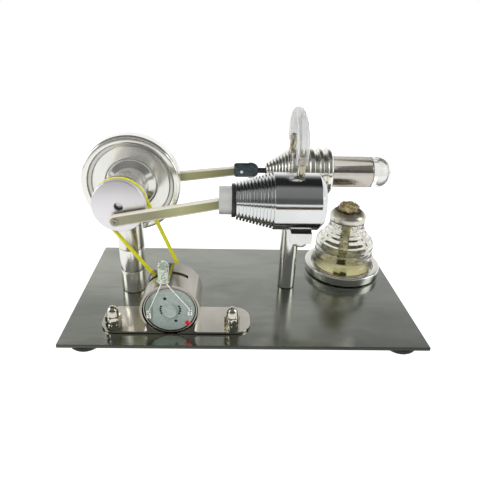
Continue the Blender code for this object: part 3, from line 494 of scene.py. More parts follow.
def curve_path(points, pieces):
    """Smooth path through the points (Catmull-Rom)."""
    knots = [Vector(p) for p in points]
    knots = [2 * knots[0] - knots[1]] + knots + [2 * knots[-1] - knots[-2]]
    path = []
    for i in range(1, len(knots) - 2):
        p0, p1, p2, p3 = knots[i - 1:i + 3]
        for k in range(pieces):
            t = k / pieces
            path.append(0.5 * ((2 * p1) + (p2 - p0) * t + (2 * p0 - 5 * p1 + 4 * p2 - p3) * t * t
                               + (3 * p1 - p0 - 3 * p2 + p3) * t ** 3))
    path.append(knots[-2])
    return path

def arc(centre, radius, first, last, count):
    """Points of an arc in count steps, around a pair of coordinates."""
    turns = [first + (last - first) * k / count for k in range(count + 1)]
    return [(centre[0] + radius * math.cos(turn), centre[1] + radius * math.sin(turn)) for turn in turns]


def prism(bm, outline, axis, start, end):
    """Extrudes an outline along an axis; its pairs are (y, z), (x, z) or (x, y)."""
    order = {"X": (2, 0, 1), "Y": (0, 2, 1), "Z": (0, 1, 2)}[axis]
    low, high = ([bm.verts.new([(u, v, w)[i] for i in order]) for u, v in outline] for w in (start, end))
    bm.faces.new(low)
    bm.faces.new(high)
    skin(bm, low, high)


def bevel_sharp(bm, offset, angle=30.0, segments=3):
    edges = [e for e in bm.edges if len(e.link_faces) == 2 and e.calc_face_angle(0) > math.radians(angle)]
    bmesh.ops.bevel(bm, geom=edges, offset=offset, segments=segments, affect='EDGES', profile=0.6)


def subtract(piece, bm, sharp=32):
    """Cuts a bmesh's shape out of a piece."""
    knife = make_object("cutter", bm)
    step = piece.modifiers.new("cut", 'BOOLEAN')
    step.solver = 'EXACT'
    step.object = knife
    bpy.context.view_layer.update()
    baked = bpy.data.meshes.new_from_object(piece.evaluated_get(bpy.context.evaluated_depsgraph_get()))
    piece.modifiers.clear()
    piece.data = baked
    bpy.data.objects.remove(knife, do_unlink=True)
    piece.data.set_sharp_from_angle(angle=math.radians(sharp))


def drill(piece, holes):
    """Cuts round holes (axis, centre, start, end, radius) out of a piece."""
    for axis, centre, start, end, radius in holes:
        bm = bmesh.new()
        lathe(bm, [(start, 0), (start, radius), (end, radius), (end, 0)], axis, centre, 48)
        subtract(piece, bm)


def fins(start, end, radius_start, radius_end, count, depth, share):
    """Outline of turned fins: lands with small round corners and square-bottomed grooves."""
    pitch = (end - start) / count
    slope = (radius_end - radius_start) / (end - start)
    points = []
    for k in range(count):
        a = start + pitch * k
        b = a + pitch * share
        c = a + pitch
        fin_a = radius_start + slope * (a - start)
        fin_b = radius_start + slope * (b - start)
        points += [(a, fin_a), (b, fin_b), (b + 0.04, fin_b - depth), (c - 0.04, fin_b - depth)]
    return points


def keep(node, mat):
    """A CAD node whose shape is right stays, with a finished material."""
    piece = NODES[node]
    piece.data.materials.clear()
    piece.data.materials.append(MAT[mat])
    return piece


# ---------------- base plate, feet, under-plate screws
keep("base_plate", "plate")

for tag, x, y in (("front_left", -78, -41.2), ("front_right", 78, -41.2),
                  ("back_left", -78, 41.2), ("back_right", 78, 41.2)):
    turned("foot_%s_pad" % tag,
           [(0.5, 0), (0.5, 2.2), (0, 2.9), (0, 6.0), (0.5, 7.3), (1.5, 8.2), (2.6, 8.5), (3.7, 8.5),
            (3.7, 0)],
           "Z", (x, y, 0), "rubber", "base", "foot_" + tag, ease=0.8)


def socket_screw(name, x, y, high, radius, replaces):
    """Low button-head screw with a hexagon socket, head down under the plate."""
    bm = bmesh.new()
    profile = [(1.4, 1.5), (1.4, 2.7), (1.9, 3.4), (3.7, 3.5), (3.7, radius), (high, radius), (high, 0)]
    mouth = lathe(bm, eased(profile, 0.15), "Z", (x, y, 0), 48)[0]
    hexagon = []
    for turn in circle(48):
        reach = 1.2 / math.cos(turn % (math.pi / 3) - math.pi / 6)
        hexagon.append((x + reach * math.cos(turn), y - reach * math.sin(turn)))
    edge, deep = ([bm.verts.new((*point, z)) for point in hexagon] for z in (1.41, 2.9))
    skin(bm, mouth, edge)
    skin(bm, edge, deep)
    bm.faces.new(deep)
    finish_mesh(name, bm, "shaft", "base", replaces)


socket_screw("crank_post_socket_screw", POST1[0], POST1[1], CRANK.z - 5.6, 2.0, "crank_post_bolt")
socket_screw("second_post_socket_screw", POST2[0], POST2[1], TOP + 11, 2.0, "cylinder_post_screw")
for tag, x in CLAMP_SCREWS:
    socket_screw("clamp_socket_screw_" + tag, x, CLAMP_SCREW_Y, TOP + 9.8, 1.95, "clamp_bolt_" + tag)

# ---------------- crank post, bearing housing, shaft
SECTION = 13.3
tops = {"lower": TOP + SECTION, "middle": TOP + 2 * SECTION, "upper": CRANK.z - 4}
for k, (tag, high) in enumerate(tops.items()):
    low = TOP + k * SECTION + 0.3
    section = turned("post_section_" + tag, [(low, 2.3), (low, 7.0), (high, 7.0), (high, 2.3)], "Z", POST1,
                     "post", "base", "crank_post_" + tag)
drill(section, [("Y", CRANK, -30, 30, 10.25)])

housing = turned("crank_housing",
                 [(-7, 5.3), (-7, 10), (9, 10), (9, 5.3), (4.7, 5.3), (4.7, 3), (-2.7, 3), (-2.7, 5.3)],
                 "Y", CRANK, "housing", "base", "bearing_housing", ease=0.5)
drill(housing, [("Z", (CRANK.x, 1.5, CRANK.z), 6.5, 14, 2.6), ("Z", (CRANK.x, 1.5, CRANK.z), -12, -5, 2.3)])

for tag, start, face in (("front", -6.9, 1), ("rear", 4.9, -1)):
    ring = [(0, 2.2), (0, 3.05), (0.35, 3.25), (0.35, 4.05), (0, 4.25), (0, 5.0), (4.0, 5.0), (4.0, 2.2)]
    if face < 0:
        ring = [(4.0 - a, r) for a, r in ring]
    turned("ball_bearing_" + tag, [(start + a, r) for a, r in ring], "Y", CRANK, "shaft", "base",
           "bearing_" + tag, ease=0.12)

turned("drive_shaft", [(-19.3, 0), (-19.3, 1.9), (18, 1.9), (18, 0)], "Y", CRANK, "shaft", "crank",
       "crank_shaft", steps=48, ease=0.35)

# ---------------- front pulley and flywheel
turned("belt_pulley",
       [(-21.5, 2.2), (-21.5, 13.2), (-17.7, 13.2), (-17.0, 11.4), (-15.0, 11.4), (-14.3, 13.0),
        (-12.4, 13.0), (-12.4, 5.5), (-9.5, 5.2), (-9.5, 2.2)],
       "Y", CRANK, "disc", "crank", "front_pulley", steps=144, ease=0.55)
turned("rim_flywheel",
       [(0, 2.2), (0, 7.6), (0.5, 8.9), (2.5, 12.9), (2.6, 13.6), (1.9, 14.3), (1.8, 15.0), (1.8, 20.9),
        (1.1, 21.3), (1.0, 23.1), (0.1, 23.5), (0, 23.7), (0, 26.2), (1.2, 27.0), (8.9, 27.0), (9.5, 26.5),
        (9.5, 22.0), (7.5, 21.0), (7.5, 12.5), (9.5, 11.5), (9.5, 2.2)],
       "Y", (CRANK.x, 9.5, CRANK.z), "wheel", "crank", "flywheel", steps=180, ease=0.45,
       sharp=40)

# ---------------- second post, crossbar and its screws
turned("second_post", [(TOP + 0.3, 0), (TOP + 0.3, 5.0), (BAR_BOTTOM - 0.3, 5.0), (BAR_BOTTOM - 0.3, 0)], "Z",
       POST2, "post2", "base", "cylinder_post", ease=0.4)

bm = bmesh.new()
prism(bm, [(21.0, -31.0), (31.0, -31.0), (31.0, 28.7), (21.0, 28.7)], "Z", BAR_BOTTOM, BAR_TOP)
bevel_sharp(bm, 0.45)
finish_mesh("cylinder_crossbar", bm, "bar", "base", "crossbar")

# painted shadow: near-black fillers shaped to the gap between crossbar and barrels stand in for the shade in
# that gap
for tag, y, radius in (("power", POWER_Y, 13.6), ("hot", HOT_Y, 13.3)):
    reach = 5.1
    steps = [reach * (1 - 2 * k / 12) for k in range(13)]
    outline = [(y - reach, BAR_TOP + 0.02), (y + reach, BAR_TOP + 0.02)]
    outline += [(y + step, CYL_Z - math.sqrt(radius ** 2 - step ** 2)) for step in steps]
    bm = bmesh.new()
    prism(bm, outline, "X", 21.3, 30.7)
    finish_mesh(tag + "_saddle_gap_shade", bm, "pad", "base", None)

turned("crossbar_button_screw",
       [(-15.4, 0), (-15.4, 2.0), (0.3, 2.0), (0.3, 3.5), (1.8, 3.3), (2.5, 2.2), (2.5, 1.3), (1.2, 1.2),
        (1.2, 0)],
       "Z", (*POST2[:2], BAR_TOP), "shaft", "base", "crossbar_screw", steps=48)
for tag, y in (("power", POWER_Y), ("hot", HOT_Y)):
    turned(tag + "_holding_screw",
           [(-2.6, 0), (-2.6, 1.2), (-3.9, 1.3), (-3.9, 2.4), (-3.2, 3.2), (-1.8, 3.6), (-0.3, 3.6),
            (-0.3, 2.0), (9.1, 2.0), (9.1, 0)],
           "Z", (POST2[0], y, BAR_BOTTOM), "bar", "base", tag + "_cylinder_screw", steps=64,
           ease=0.5)

# ---------------- the two finned cylinders
barrel = turned("finned_power_cylinder",
                [(32.5, 0), (32.5, 7.5), (-5.3, 7.5), (-5.3, 8.6)]
                + fins(-5.3, 11.7, 9.0, 13.2, 11, 1.05, 0.60)
                + [(11.7, 13.3), (12.2, 13.5), (32.9, 13.5), (35.5, 10.9), (35.6, 10.5), (35.6, 0)],
                "X", power_c, "power", "base", "power_cylinder", steps=160, ease=0.12)
drill(barrel, [("Z", (POWER_PORT_X, POWER_Y, CYL_Z), 10.5, 16, 2.05)])
turned("cylinder_mouth_liner",
       [(-7.4, 6.95), (-7.4, 8.0), (-5.6, 8.0), (-5.6, 7.3), (20, 7.3), (20, 6.95)],
       "X", power_c, "black_metal", "base", "power_cylinder_liner", ease=0.2)

heat = turned("finned_hot_cylinder",
              [(12.8, 2.8), (12.8, 4.4)] + fins(12.8, 25.5, 4.6, 12.8, 8, 1.5, 0.55)
              + [(25.5, 13.1), (26.0, 13.2), (32.0, 13.2), (33.0, 12.6), (33.5, 10.6), (34.7, 10.6),
                 (35.2, 12.0), (35.9, 13.2), (38.3, 13.2), (39.0, 12.0), (39.4, 10.6), (40.2, 10.6),
                 (40.6, 12.0), (41.3, 13.2), (43.1, 13.2), (43.7, 12.0), (44.0, 10.8), (45.0, 10.8),
                 (45.3, 12.0), (45.9, 13.2), (47.7, 13.2), (48.6, 12.2), (48.8, 11.2), (48.8, 9.0),
                 (43.0, 9.0), (43.0, 7.5), (27.0, 7.5), (27.0, 2.8)],
              "X", hot_c, "hot", "base", "hot_cylinder", steps=144, ease=0.3)
drill(heat, [("Z", (HOT_PORT_X, HOT_Y, CYL_Z), 10.3, 16, 2.05)])
turned("guide_bush", [(13.1, 1.8), (13.1, 2.5), (20, 2.5), (20, 1.8)], "X", hot_c, "brass", "base",
       "rod_guide_bush", steps=48, ease=0.15)
turned("test_tube",
       [(43.3, 7.5), (43.3, 8.7), (75.0, 8.7), (77.2, 8.45), (79.3, 7.6), (81.1, 6.2), (82.2, 4.3),
        (82.7, 2.2), (83.2, 1.3), (83.9, 0.7), (84.1, 0), (81.7, 0), (81.4, 2.4), (80.6, 4.4),
        (79.2, 5.9), (77.4, 7.0), (75.0, 7.5)],
       "X", hot_c, "glass", "base", "glass_tube", ease=0.9, closed=False, sharp=60)

for tag, x, y, radius in (("power", POWER_PORT_X, POWER_Y, 13.5), ("hot", HOT_PORT_X, HOT_Y, 13.2)):
    turned(tag + "_hose_nozzle",
           [(-2.8, 1.2), (-2.8, 1.9), (6.6, 1.9), (6.8, 1.75), (7.0, 1.9), (8.3, 1.7), (8.3, 1.2)],
           "Z", (x, y, CYL_Z + radius), "nozzle", "base", tag + "_nozzle", steps=48,
           ease=0.1)

# ---------------- air hose
power_tip = CYL_Z + 13.5 + 4.5
hot_tip = CYL_Z + 13.2 + 5.0
hose = curve_path([
    (HOT_PORT_X, HOT_Y, hot_tip), (HOT_PORT_X, HOT_Y, hot_tip + 5), (26.8, 20.5, TOP + 92.5),
    (26.4, 12.0, TOP + 99.0), (25.4, -1.0, TOP + 101.3), (24.8, -14.0, TOP + 99.0), (24.4, -22.6, TOP + 92.5),
    (POWER_PORT_X, POWER_Y, power_tip + 5), (POWER_PORT_X, POWER_Y, power_tip)], 10)
bm = bmesh.new()
outer = tube(bm, hose, 2.9, 28, caps=False)
inner = tube(bm, hose, 2.05, 28, caps=False)
skin(bm, outer[0], inner[0])
skin(bm, outer[-1], inner[-1])
finish_mesh("silicone_hose", bm, "silicone", "base", "air_hose", sharp=60)

# ---------------- piston, rods, clevis, displacer
CRANK_THROW = 6
POWER_TURN, HOT_TURN = math.radians(-102), math.radians(-12)
POWER_PIN = (CRANK.x + CRANK_THROW * math.cos(POWER_TURN), CRANK.z + CRANK_THROW * math.sin(POWER_TURN))
HOT_PIN = (CRANK.x + CRANK_THROW * math.cos(HOT_TURN), CRANK.z + CRANK_THROW * math.sin(HOT_TURN))
WRIST_X = POWER_PIN[0] + math.sqrt(60 ** 2 - (CYL_Z - POWER_PIN[1]) ** 2)
FORK_X = HOT_PIN[0] + math.sqrt(55 ** 2 - (CYL_Z - HOT_PIN[1]) ** 2)
fork_c = Vector((FORK_X, HOT_Y, CYL_Z))

turned("ground_piston", [(-9.5, 5.4), (-9.5, 6.7), (14.5, 6.7), (14.5, 0), (11, 0), (11, 5.4)], "X",
       (WRIST_X, POWER_Y, CYL_Z), "piston", "power_piston_body", "power_piston", ease=0.3)
keep("wrist_pin", "shaft")
keep("clevis_pin", "shaft")


def connecting_rod(name, a, b, y, body, replaces):
    """Flat bar with round ends, pale rounded edges (a painted highlight) and a pin hole at each end."""
    heading = math.atan2(b[1] - a[1], b[0] - a[0])
    round_off, half = 0.8, 1.5
    edge = [(half - round_off * (1 - math.sin(turn)), round_off * (1 - math.cos(turn)))
            for turn in (math.radians(15 * k) for k in range(7))]
    bm = bmesh.new()
    rings = []
    for depth, inset in [(-depth, inset) for depth, inset in reversed(edge)] + edge:
        ring = []
        for centre, radius, start in ((a, 3.0, 90.0), (b, 2.6, -90.0)):
            for k in range(25):
                turn = heading + math.radians(start + 7.5 * k)
                ring.append(bm.verts.new((centre[0] + (radius - inset) * math.cos(turn), y + depth,
                                          centre[1] + (radius - inset) * math.sin(turn))))
        rings.append(ring)
    for low, high in zip(rings, rings[1:]):
        skin(bm, low, high, 1)
    bm.faces.new(rings[0])
    bm.faces.new(rings[-1])
    # the second material paints a highlight on the rod's rounded edges
    rod = finish_mesh(name, bm, ["rod", "rod_edge_highlight"], body, replaces, sharp=50)
    drill(rod, [("Y", (a[0], y, a[1]), -4, 4, 1.65), ("Y", (b[0], y, b[1]), -4, 4, 1.2)])


connecting_rod("piston_connecting_rod", POWER_PIN, (WRIST_X, CYL_Z), POWER_Y, "power_rod_body", "power_rod")
connecting_rod("displacer_connecting_rod", HOT_PIN, (FORK_X, CYL_Z), HOT_Y, "displacer_link_body",
               "displacer_link")
turned("crank_pin_front",
       [(-1.4, 0), (-1.4, 0.55), (-1.9, 0.65), (-1.9, 1.45), (-1.7, 1.65), (-1.55, 1.65), (-1.55, 1.35),
        (1.8, 1.35), (1.8, 2.3), (2.7, 2.3), (2.7, 0)],
       "Y", (POWER_PIN[0], POWER_Y, POWER_PIN[1]), "pin", "power_rod_body", "power_crank_pin",
       steps=48, ease=0.12)
turned("crank_pin_rear",
       [(-2.9, 0), (-2.9, 2.3), (-1.8, 2.3), (-1.8, 1.35), (1.7, 1.35), (1.7, 1.9), (2.3, 1.9), (2.6, 1.5),
        (2.6, 0.8), (1.9, 0.7), (1.9, 0)],
       "Y", (HOT_PIN[0], HOT_Y, HOT_PIN[1]), "shaft", "displacer_link_body", "displacer_crank_pin",
       steps=48, ease=0.12)


def hex_rings(bm, stations, centre, steps=48):
    """Six-sided body along X from (x, across-corners radius, roundness) stations."""
    rings = []
    for x, reach, roundness in stations:
        ring = []
        for turn in circle(steps):
            flat = reach * math.cos(math.pi / 6) / math.cos(turn % (math.pi / 3) - math.pi / 6)
            r = flat * (1 - roundness) + reach * 0.93 * roundness
            angle = turn + math.radians(30)
            ring.append(bm.verts.new(centre + Vector((x, r * math.cos(angle), r * math.sin(angle)))))
        rings.append(ring)
    for low, high in zip(rings, rings[1:]):
        skin(bm, low, high)
    bm.faces.new(rings[0])
    bm.faces.new(rings[-1])


bm = bmesh.new()
hex_rings(bm, [(-4.2, 3.3, 0.9), (-3.9, 3.9, 0.7), (-3.0, 4.5, 0.35), (-1.5, 4.6, 0.25), (5.6, 4.6, 0.25),
               (7.0, 4.4, 0.4), (8.3, 3.7, 0.75), (9.1, 2.8, 1.0), (9.3, 2.4, 1.0)], fork_c)
clevis = finish_mesh("fork_end", bm, "clevis", "displacer_body", "clevis", sharp=40)
bm = bmesh.new()
slot = [(FORK_X + x, CYL_Z + z) for x, z in ((-7, -8), (4, -8), (4, 8), (-7, 8))]
prism(bm, slot, "Y", HOT_Y - 1.8, HOT_Y + 1.8)
subtract(clevis, bm)
drill(clevis, [("Y", fork_c, -9, 9, 1.15), ("X", fork_c, 5.4, 12, 1.7)])

turned("displacer_push_rod", [(FORK_X + 5.8, 0), (FORK_X + 5.8, 1.5), (45, 1.5), (45, 0)], "X", hot_c,
       "black_metal", "displacer_body", "displacer_rod", steps=40, ease=0.3)
turned("displacer_barrel",
       [(40, 1.8), (40, 6.8), (72.6, 6.8), (72.6, 0), (45.6, 0), (45.6, 1.8)], "X", hot_c, "tube_metal",
       "displacer_body", "displacer", ease=1.4)

# ---------------- generator motor
M = 13.2
FACE = MOTOR.y
HUB = (MOTOR.x, MOTOR.z)
turned("motor_shell",
       [(2.8, 0), (2.8, M - 0.7), (0, M - 0.7), (-0.02, M - 0.25), (0.25, M), (16.5, M), (17.5, M - 1.0),
        (17.5, 3.6), (19.1, 3.4), (19.1, 1.3), (9.5, 1.3), (9.5, 0)],
       "Y", MOTOR, "can", "base", "motor_can", steps=144, ease=0.2)
cap = turned("motor_cap",
             [(2.5, 0), (2.5, M - 1.1), (0.5, M - 1.1), (0.35, M - 1.35), (0.35, 5.0), (0.15, 4.6),
              (0.15, 3.9), (-0.2, 3.6), (-1.5, 3.45), (-1.85, 3.0), (-1.6, 2.6), (-1.6, 0)],
             "Y", MOTOR, "cap", "base", "motor_end_cap", steps=144, ease=0.25)

SMALL_HOLES = (Vector((-2.4, 0, 6.3)), Vector((2.6, 0, -6.5)))


def vent_points(count):
    """Points along the two curved vents beside the shaft boss."""
    pairs = arc(HUB, 4.75, 204 * DEG, 156 * DEG, count - 1) + arc(HUB, 4.75, -24 * DEG, 24 * DEG, count - 1)
    return [Vector((x, FACE, z)) for x, z in pairs]


drill(cap, [("Y", MOTOR + hole, -2, 1.7, 0.85) for hole in SMALL_HOLES]
      + [("Y", point, -2, 1.5, 0.62) for point in vent_points(4)])

LUGS = (("left", -1, MOTOR.x - 10.4, MOTOR.z - 2.2), ("right", 1, MOTOR.x + 9.6, MOTOR.z - 0.2))
for tag, side, lug_x, lug_z in LUGS:
    bm = bmesh.new()
    middle = 90 - 90 * side
    outline = arc(HUB, 11.7, (middle - side * 40) * DEG, (middle + side * 40) * DEG, 16)
    outline += [(MOTOR.x + side * 8.9, MOTOR.z + 6.6), (MOTOR.x + side * 8.5, MOTOR.z),
                (MOTOR.x + side * 8.9, MOTOR.z - 6.6)]
    prism(bm, outline, "Y", FACE + 0.1, FACE + 0.6)
    bevel_sharp(bm, 0.12, segments=2)
    finish_mesh("lug_insulator_" + tag, bm, "green" if side < 0 else "cap", "base", None)

    bm = bmesh.new()
    outline = [(lug_x - 1.1, lug_z - 2.4), (lug_x + 1.1, lug_z - 2.4)]
    prism(bm, outline + arc((lug_x, lug_z + 1.2), 1.1, 0, math.pi, 8), "Y", FACE - 0.22, FACE + 0.08)
    bevel_sharp(bm, 0.08, segments=2)
    lug = finish_mesh("solder_lug_" + tag, bm, "wire", "base", None)
    drill(lug, [("Y", (lug_x, FACE, lug_z - 1.5), -1, 1, 0.45)])

    bm = bmesh.new()
    bmesh.ops.create_icosphere(bm, subdivisions=4, radius=1.0)
    for v in bm.verts:
        wobble = 1 + 0.22 * noise.noise(v.co * 2.1 + Vector((side * 5, 0, 3)))
        v.co = Vector((v.co.x * 1.15, v.co.y * 0.42, v.co.z * 0.95)) * wobble
        v.co += Vector((lug_x, FACE - 0.42, lug_z + 0.4))
    finish_mesh("solder_joint_" + tag, bm, "wire", "base", None, sharp=80)

DOT = MOTOR + Vector((8.4, 0, -7.4))
bm = bmesh.new()
lathe(bm, eased([(0.33, 0), (0.33, 1.45), (0.22, 1.35), (0.18, 0)], 0.1), "Y", DOT, 40)
for v in bm.verts:
    v.co.x = DOT.x + (v.co.x - DOT.x) * (1 + 0.06 * noise.noise(v.co * 0.9))
finish_mesh("polarity_dot", bm, "red", "base", sharp=60)

bm = bmesh.new()
lathe(bm, [(0.6, 12.05), (0.28, 12.1), (0.22, 12.35), (0.3, 12.6), (0.6, 12.6)], "Y", MOTOR, 144)
for point in vent_points(9):
    lathe(bm, [(0.6, 0), (0.6, 0.6), (1.4, 0.6), (1.4, 0)], "Y", point, 16)
for hole in SMALL_HOLES:
    lathe(bm, [(0.7, 0), (0.7, 0.84), (1.6, 0.84), (1.6, 0)], "Y", MOTOR + hole, 24)
finish_mesh("motor_cap_shadow_gaps", bm, "pad", "base", sharp=60)

# ---------------- indicator lamp and its leads
LED = Vector((-38.4, -42.1, TOP + 31.3))
bm = bmesh.new()
dome = [(0.0, 0), (0.0, 3.1), (0.15, 3.3), (0.95, 3.3), (1.1, 3.1), (1.1, 2.65), (7.4, 2.6)]
dome += [(7.4 + 3.0 * math.sin(math.radians(t)), 2.6 * math.cos(math.radians(t))) for t in range(10, 91, 10)]
lathe(bm, dome, "Z", LED, 64)
for v in bm.verts:
    if v.co.z < LED.z + 1.2:
        v.co.x = min(v.co.x, LED.x + 2.75)
finish_mesh("indicator_led", bm, "led", "base", "led_lamp", sharp=50)

bm = bmesh.new()
for side, wide in ((-1, 1.35), (1, 0.6)):
    foot = LED.x + side * 1.3
    prism(bm, [(foot - 0.3, LED.z + 0.3), (foot + 0.3, LED.z + 0.3), (LED.x + side + wide * 0.5, LED.z + 4.6),
               (LED.x + side - wide * 0.8, LED.z + 4.6)], "Y", LED.y - 0.25, LED.y + 0.25)
lathe(bm, [(4.2, 0), (4.2, 0.8), (5.6, 1.35), (5.65, 1.2), (4.7, 0.5), (4.7, 0)], "Z",
      LED - Vector((0.9, 0, 0)), 24)
finish_mesh("led_lead_frame", bm, "bright", "base", None)

for tag, side, lug_x, lug_z in LUGS:
    x = LED.x + side * 1.3
    path = [(x, LED.y, LED.z + 0.05), (x, LED.y, LED.z - 1.8),
            ((x + lug_x) / 2, LED.y - 0.1, (LED.z + lug_z) / 2), (lug_x, LED.y + 0.3, lug_z + 1.6),
            (lug_x, FACE - 0.3, lug_z)]
    bm = bmesh.new()
    tube(bm, curve_path(path, 10), 0.3, 12)
    finish_mesh("led_wire_" + tag, bm, "wire", "base", "led_lead_" + tag, sharp=50)

# ---------------- motor clamp
LOW = TOP + 0.3
C0, CT = 13.6, 1.0
OUT = C0 + CT
CLAMP_X, CLAMP_Y = (-71.8, 3.4), (-41.2, -19.8)


def clamp_outline():
    """Section of the strap in (x, z): flange, bend, arch over the motor, bend, flange."""
    bend = 2.2
    base_angle = math.asin((LOW + CT + bend - MOTOR.z) / (OUT + bend))
    centre = (MOTOR.x + (OUT + bend) * math.cos(base_angle), LOW + CT + bend)
    side = arc(centre, bend, -math.pi / 2, -math.pi - base_angle, 8)
    top = arc(HUB, OUT, base_angle, math.pi - base_angle, 60)[1:-1]
    mirror = [(2 * MOTOR.x - x, z) for x, z in reversed(side)]
    outer = [(CLAMP_X[1], LOW), (CLAMP_X[1], LOW + CT)] + side + top + mirror
    outer += [(CLAMP_X[0], LOW + CT), (CLAMP_X[0], LOW)]
    inner_start = math.asin((LOW + 0.02 - MOTOR.z) / C0)
    return outer + arc(HUB, C0, math.pi - inner_start, inner_start, 64)


bm = bmesh.new()
prism(bm, clamp_outline(), "Y", *CLAMP_Y)
bevel_sharp(bm, 0.12, angle=60, segments=2)
strap = finish_mesh("clamp_strap", bm, "clamp", "base", "motor_clamp", sharp=40)

for x, side_x in zip(CLAMP_X, (-1, 1)):
    for y, side_y in zip(CLAMP_Y, (-1, 1)):
        radius = 8.0
        c = (x - side_x * radius, y - side_y * radius)
        outline = [(x + side_x * 2, y + side_y * 2), (x + side_x * 2, c[1])]
        first = 0 if side_x > 0 else side_y * math.pi
        outline += arc(c, radius, first, side_y * math.pi / 2, 16) + [(c[0], y + side_y * 2)]
        bm = bmesh.new()
        prism(bm, outline, "Z", LOW - 1, LOW + 3)
        subtract(strap, bm, 40)
for start, end in ((56 * DEG, 88 * DEG), (116 * DEG, 140 * DEG)):
    bm = bmesh.new()
    prism(bm, arc(HUB, C0 - 1, start, end, 12) + arc(HUB, OUT + 1, end, start, 12), "Y", -31.0, -28.6)
    subtract(strap, bm, 40)


# ---------------- nuts of the clamp
def nut_ring(bm, x, y, low, high, across, chamfer=0.45, steps=96):
    """Hexagon nut with the round chamfer that a lathe leaves on its corners."""
    corner = across / math.sqrt(3)
    rings = []
    for z, limit in ((low, corner - chamfer), (low + chamfer * 0.6, corner + 1),
                     (high - chamfer * 0.6, corner + 1), (high, corner - chamfer)):
        ring = []
        for angle in circle(steps):
            fold = (angle - math.radians(15)) % (math.pi / 3) - math.pi / 6
            r = min(across / 2 / math.cos(fold), limit)
            ring.append(bm.verts.new((x + r * math.cos(angle), y + r * math.sin(angle), z)))
        rings.append(ring)
    for a, b in zip(rings, rings[1:]):
        skin(bm, a, b)
    return rings


def carry_on(bm, ring, x, y, profile, steps=96):
    """Carries a ring on through (z, radius) pairs and gives back the last ring."""
    for z, r in profile:
        turns = circle(steps) if r > 0 else [0]
        new = [bm.verts.new((x + r * math.cos(t), y + r * math.sin(t), z)) for t in turns]
        skin(bm, ring, new)
        ring = new
    return ring


for tag, x in CLAMP_SCREWS:
    nut_low = LOW + CT + 0.2
    bm = bmesh.new()
    rings = nut_ring(bm, x, CLAMP_SCREW_Y, nut_low, nut_low + 3.3, 7.0)
    bore = [(nut_low + 3.3, 2.6), (nut_low + 3.0, 2.25), (nut_low, 2.25)]
    skin(bm, rings[0], carry_on(bm, rings[-1], x, CLAMP_SCREW_Y, bore))
    finish_mesh("lock_nut_" + tag, bm, "nickel", "base", "hex_nut_" + tag, sharp=24)

    cap_low = nut_low + 3.5
    bm = bmesh.new()
    rings = nut_ring(bm, x, CLAMP_SCREW_Y, cap_low, cap_low + 3.5, 7.0)
    dome = [(cap_low + 3.55, 3.05)]
    dome += [(cap_low + 3.9 + 4.8 * math.sin(math.radians(t)), 3.0 * math.cos(math.radians(t)))
             for t in range(0, 90, 9)]
    carry_on(bm, rings[-1], x, CLAMP_SCREW_Y, dome + [(cap_low + 8.7, 0)])
    bore = [(cap_low, 2.6), (cap_low + 0.3, 2.25), (cap_low + 5.0, 2.25)]
    bm.faces.new(carry_on(bm, rings[0], x, CLAMP_SCREW_Y, bore))
    finish_mesh("domed_nut_" + tag, bm, "nickel", "base", "acorn_nut_" + tag, sharp=24)

# ---------------- motor shaft, small pulley, belt
keep("motor_shaft", "shaft")
BELT_Y = -16.0
turned("small_pulley",
       [(-2.6, 1.3), (-2.6, 7.4), (-1.8, 7.4), (-1.1, 4.9), (1.1, 4.9), (1.8, 7.4), (2.6, 7.4), (2.6, 1.3)],
       "Y", (MOTOR.x, BELT_Y, MOTOR.z), "brass", "motor_rotor", "motor_pulley", ease=0.25)

BIG_TURN, SMALL_TURN = 12.3, 6.0
span = Vector((MOTOR.x - CRANK.x, 0, MOTOR.z - CRANK.z))
heading = math.atan2(span.z, span.x)
opening = math.acos((BIG_TURN - SMALL_TURN) / span.length)
loop = arc((CRANK.x, CRANK.z), BIG_TURN, heading + opening, heading + 2 * math.pi - opening, 60)
loop += arc(HUB, SMALL_TURN, heading - opening, heading + opening, 32)
bm = bmesh.new()
tube(bm, [(x, BELT_Y, z) for x, z in loop], 0.95, 16, closed=True)
finish_mesh("elastic_belt", bm, "belt", "base", "drive_belt", sharp=60)

# ---------------- alcohol burner
turned("burner_dish",
       [(0.3, 0), (0.3, 21.9), (0.9, 22.6), (5.5, 22.6), (6.0, 22.1), (6.0, 19.3), (5.5, 18.8), (2.0, 18.6),
        (2.0, 0)],
       "Z", LAMP, "dish", "lamp", "lamp_dish", steps=144, ease=0.4)
turned("burner_glass",
       [(2.3, 0), (2.3, 15.9), (3.4, 17.2), (14.2, 17.2), (15.6, 16.5), (16.3, 16.2), (17.0, 16.6),
        (18.4, 17.3), (19.6, 17.3), (20.8, 16.9), (21.4, 16.2), (21.8, 16.2), (22.7, 15.9), (23.5, 14.8),
        (23.8, 14.3), (24.3, 14.2), (25.3, 13.6), (26.0, 12.5), (26.2, 12.2), (26.9, 12.1), (27.6, 11.6),
        (28.2, 10.9), (28.9, 10.7), (29.6, 10.9), (30.4, 10.6), (31.0, 10.2), (34.1, 10.2), (34.1, 8.6),
        (29.5, 8.8), (26.6, 9.7), (24.2, 11.6), (22.2, 13.9), (20.4, 15.2), (19.0, 15.7), (16.2, 14.6),
        (14.2, 15.6), (4.2, 15.6), (4.2, 0)],
       "Z", LAMP, "lamp_glass", "lamp", "lamp_glass", steps=144, ease=0.5, sharp=70)
turned("burner_fuel", [(4.15, 0), (4.15, 15.65), (11.5, 15.65), (11.3, 14.8), (11.2, 13.5), (11.2, 0)],
       "Z", LAMP, "fuel", "lamp", "lamp_fuel", ease=0.2, sharp=60)
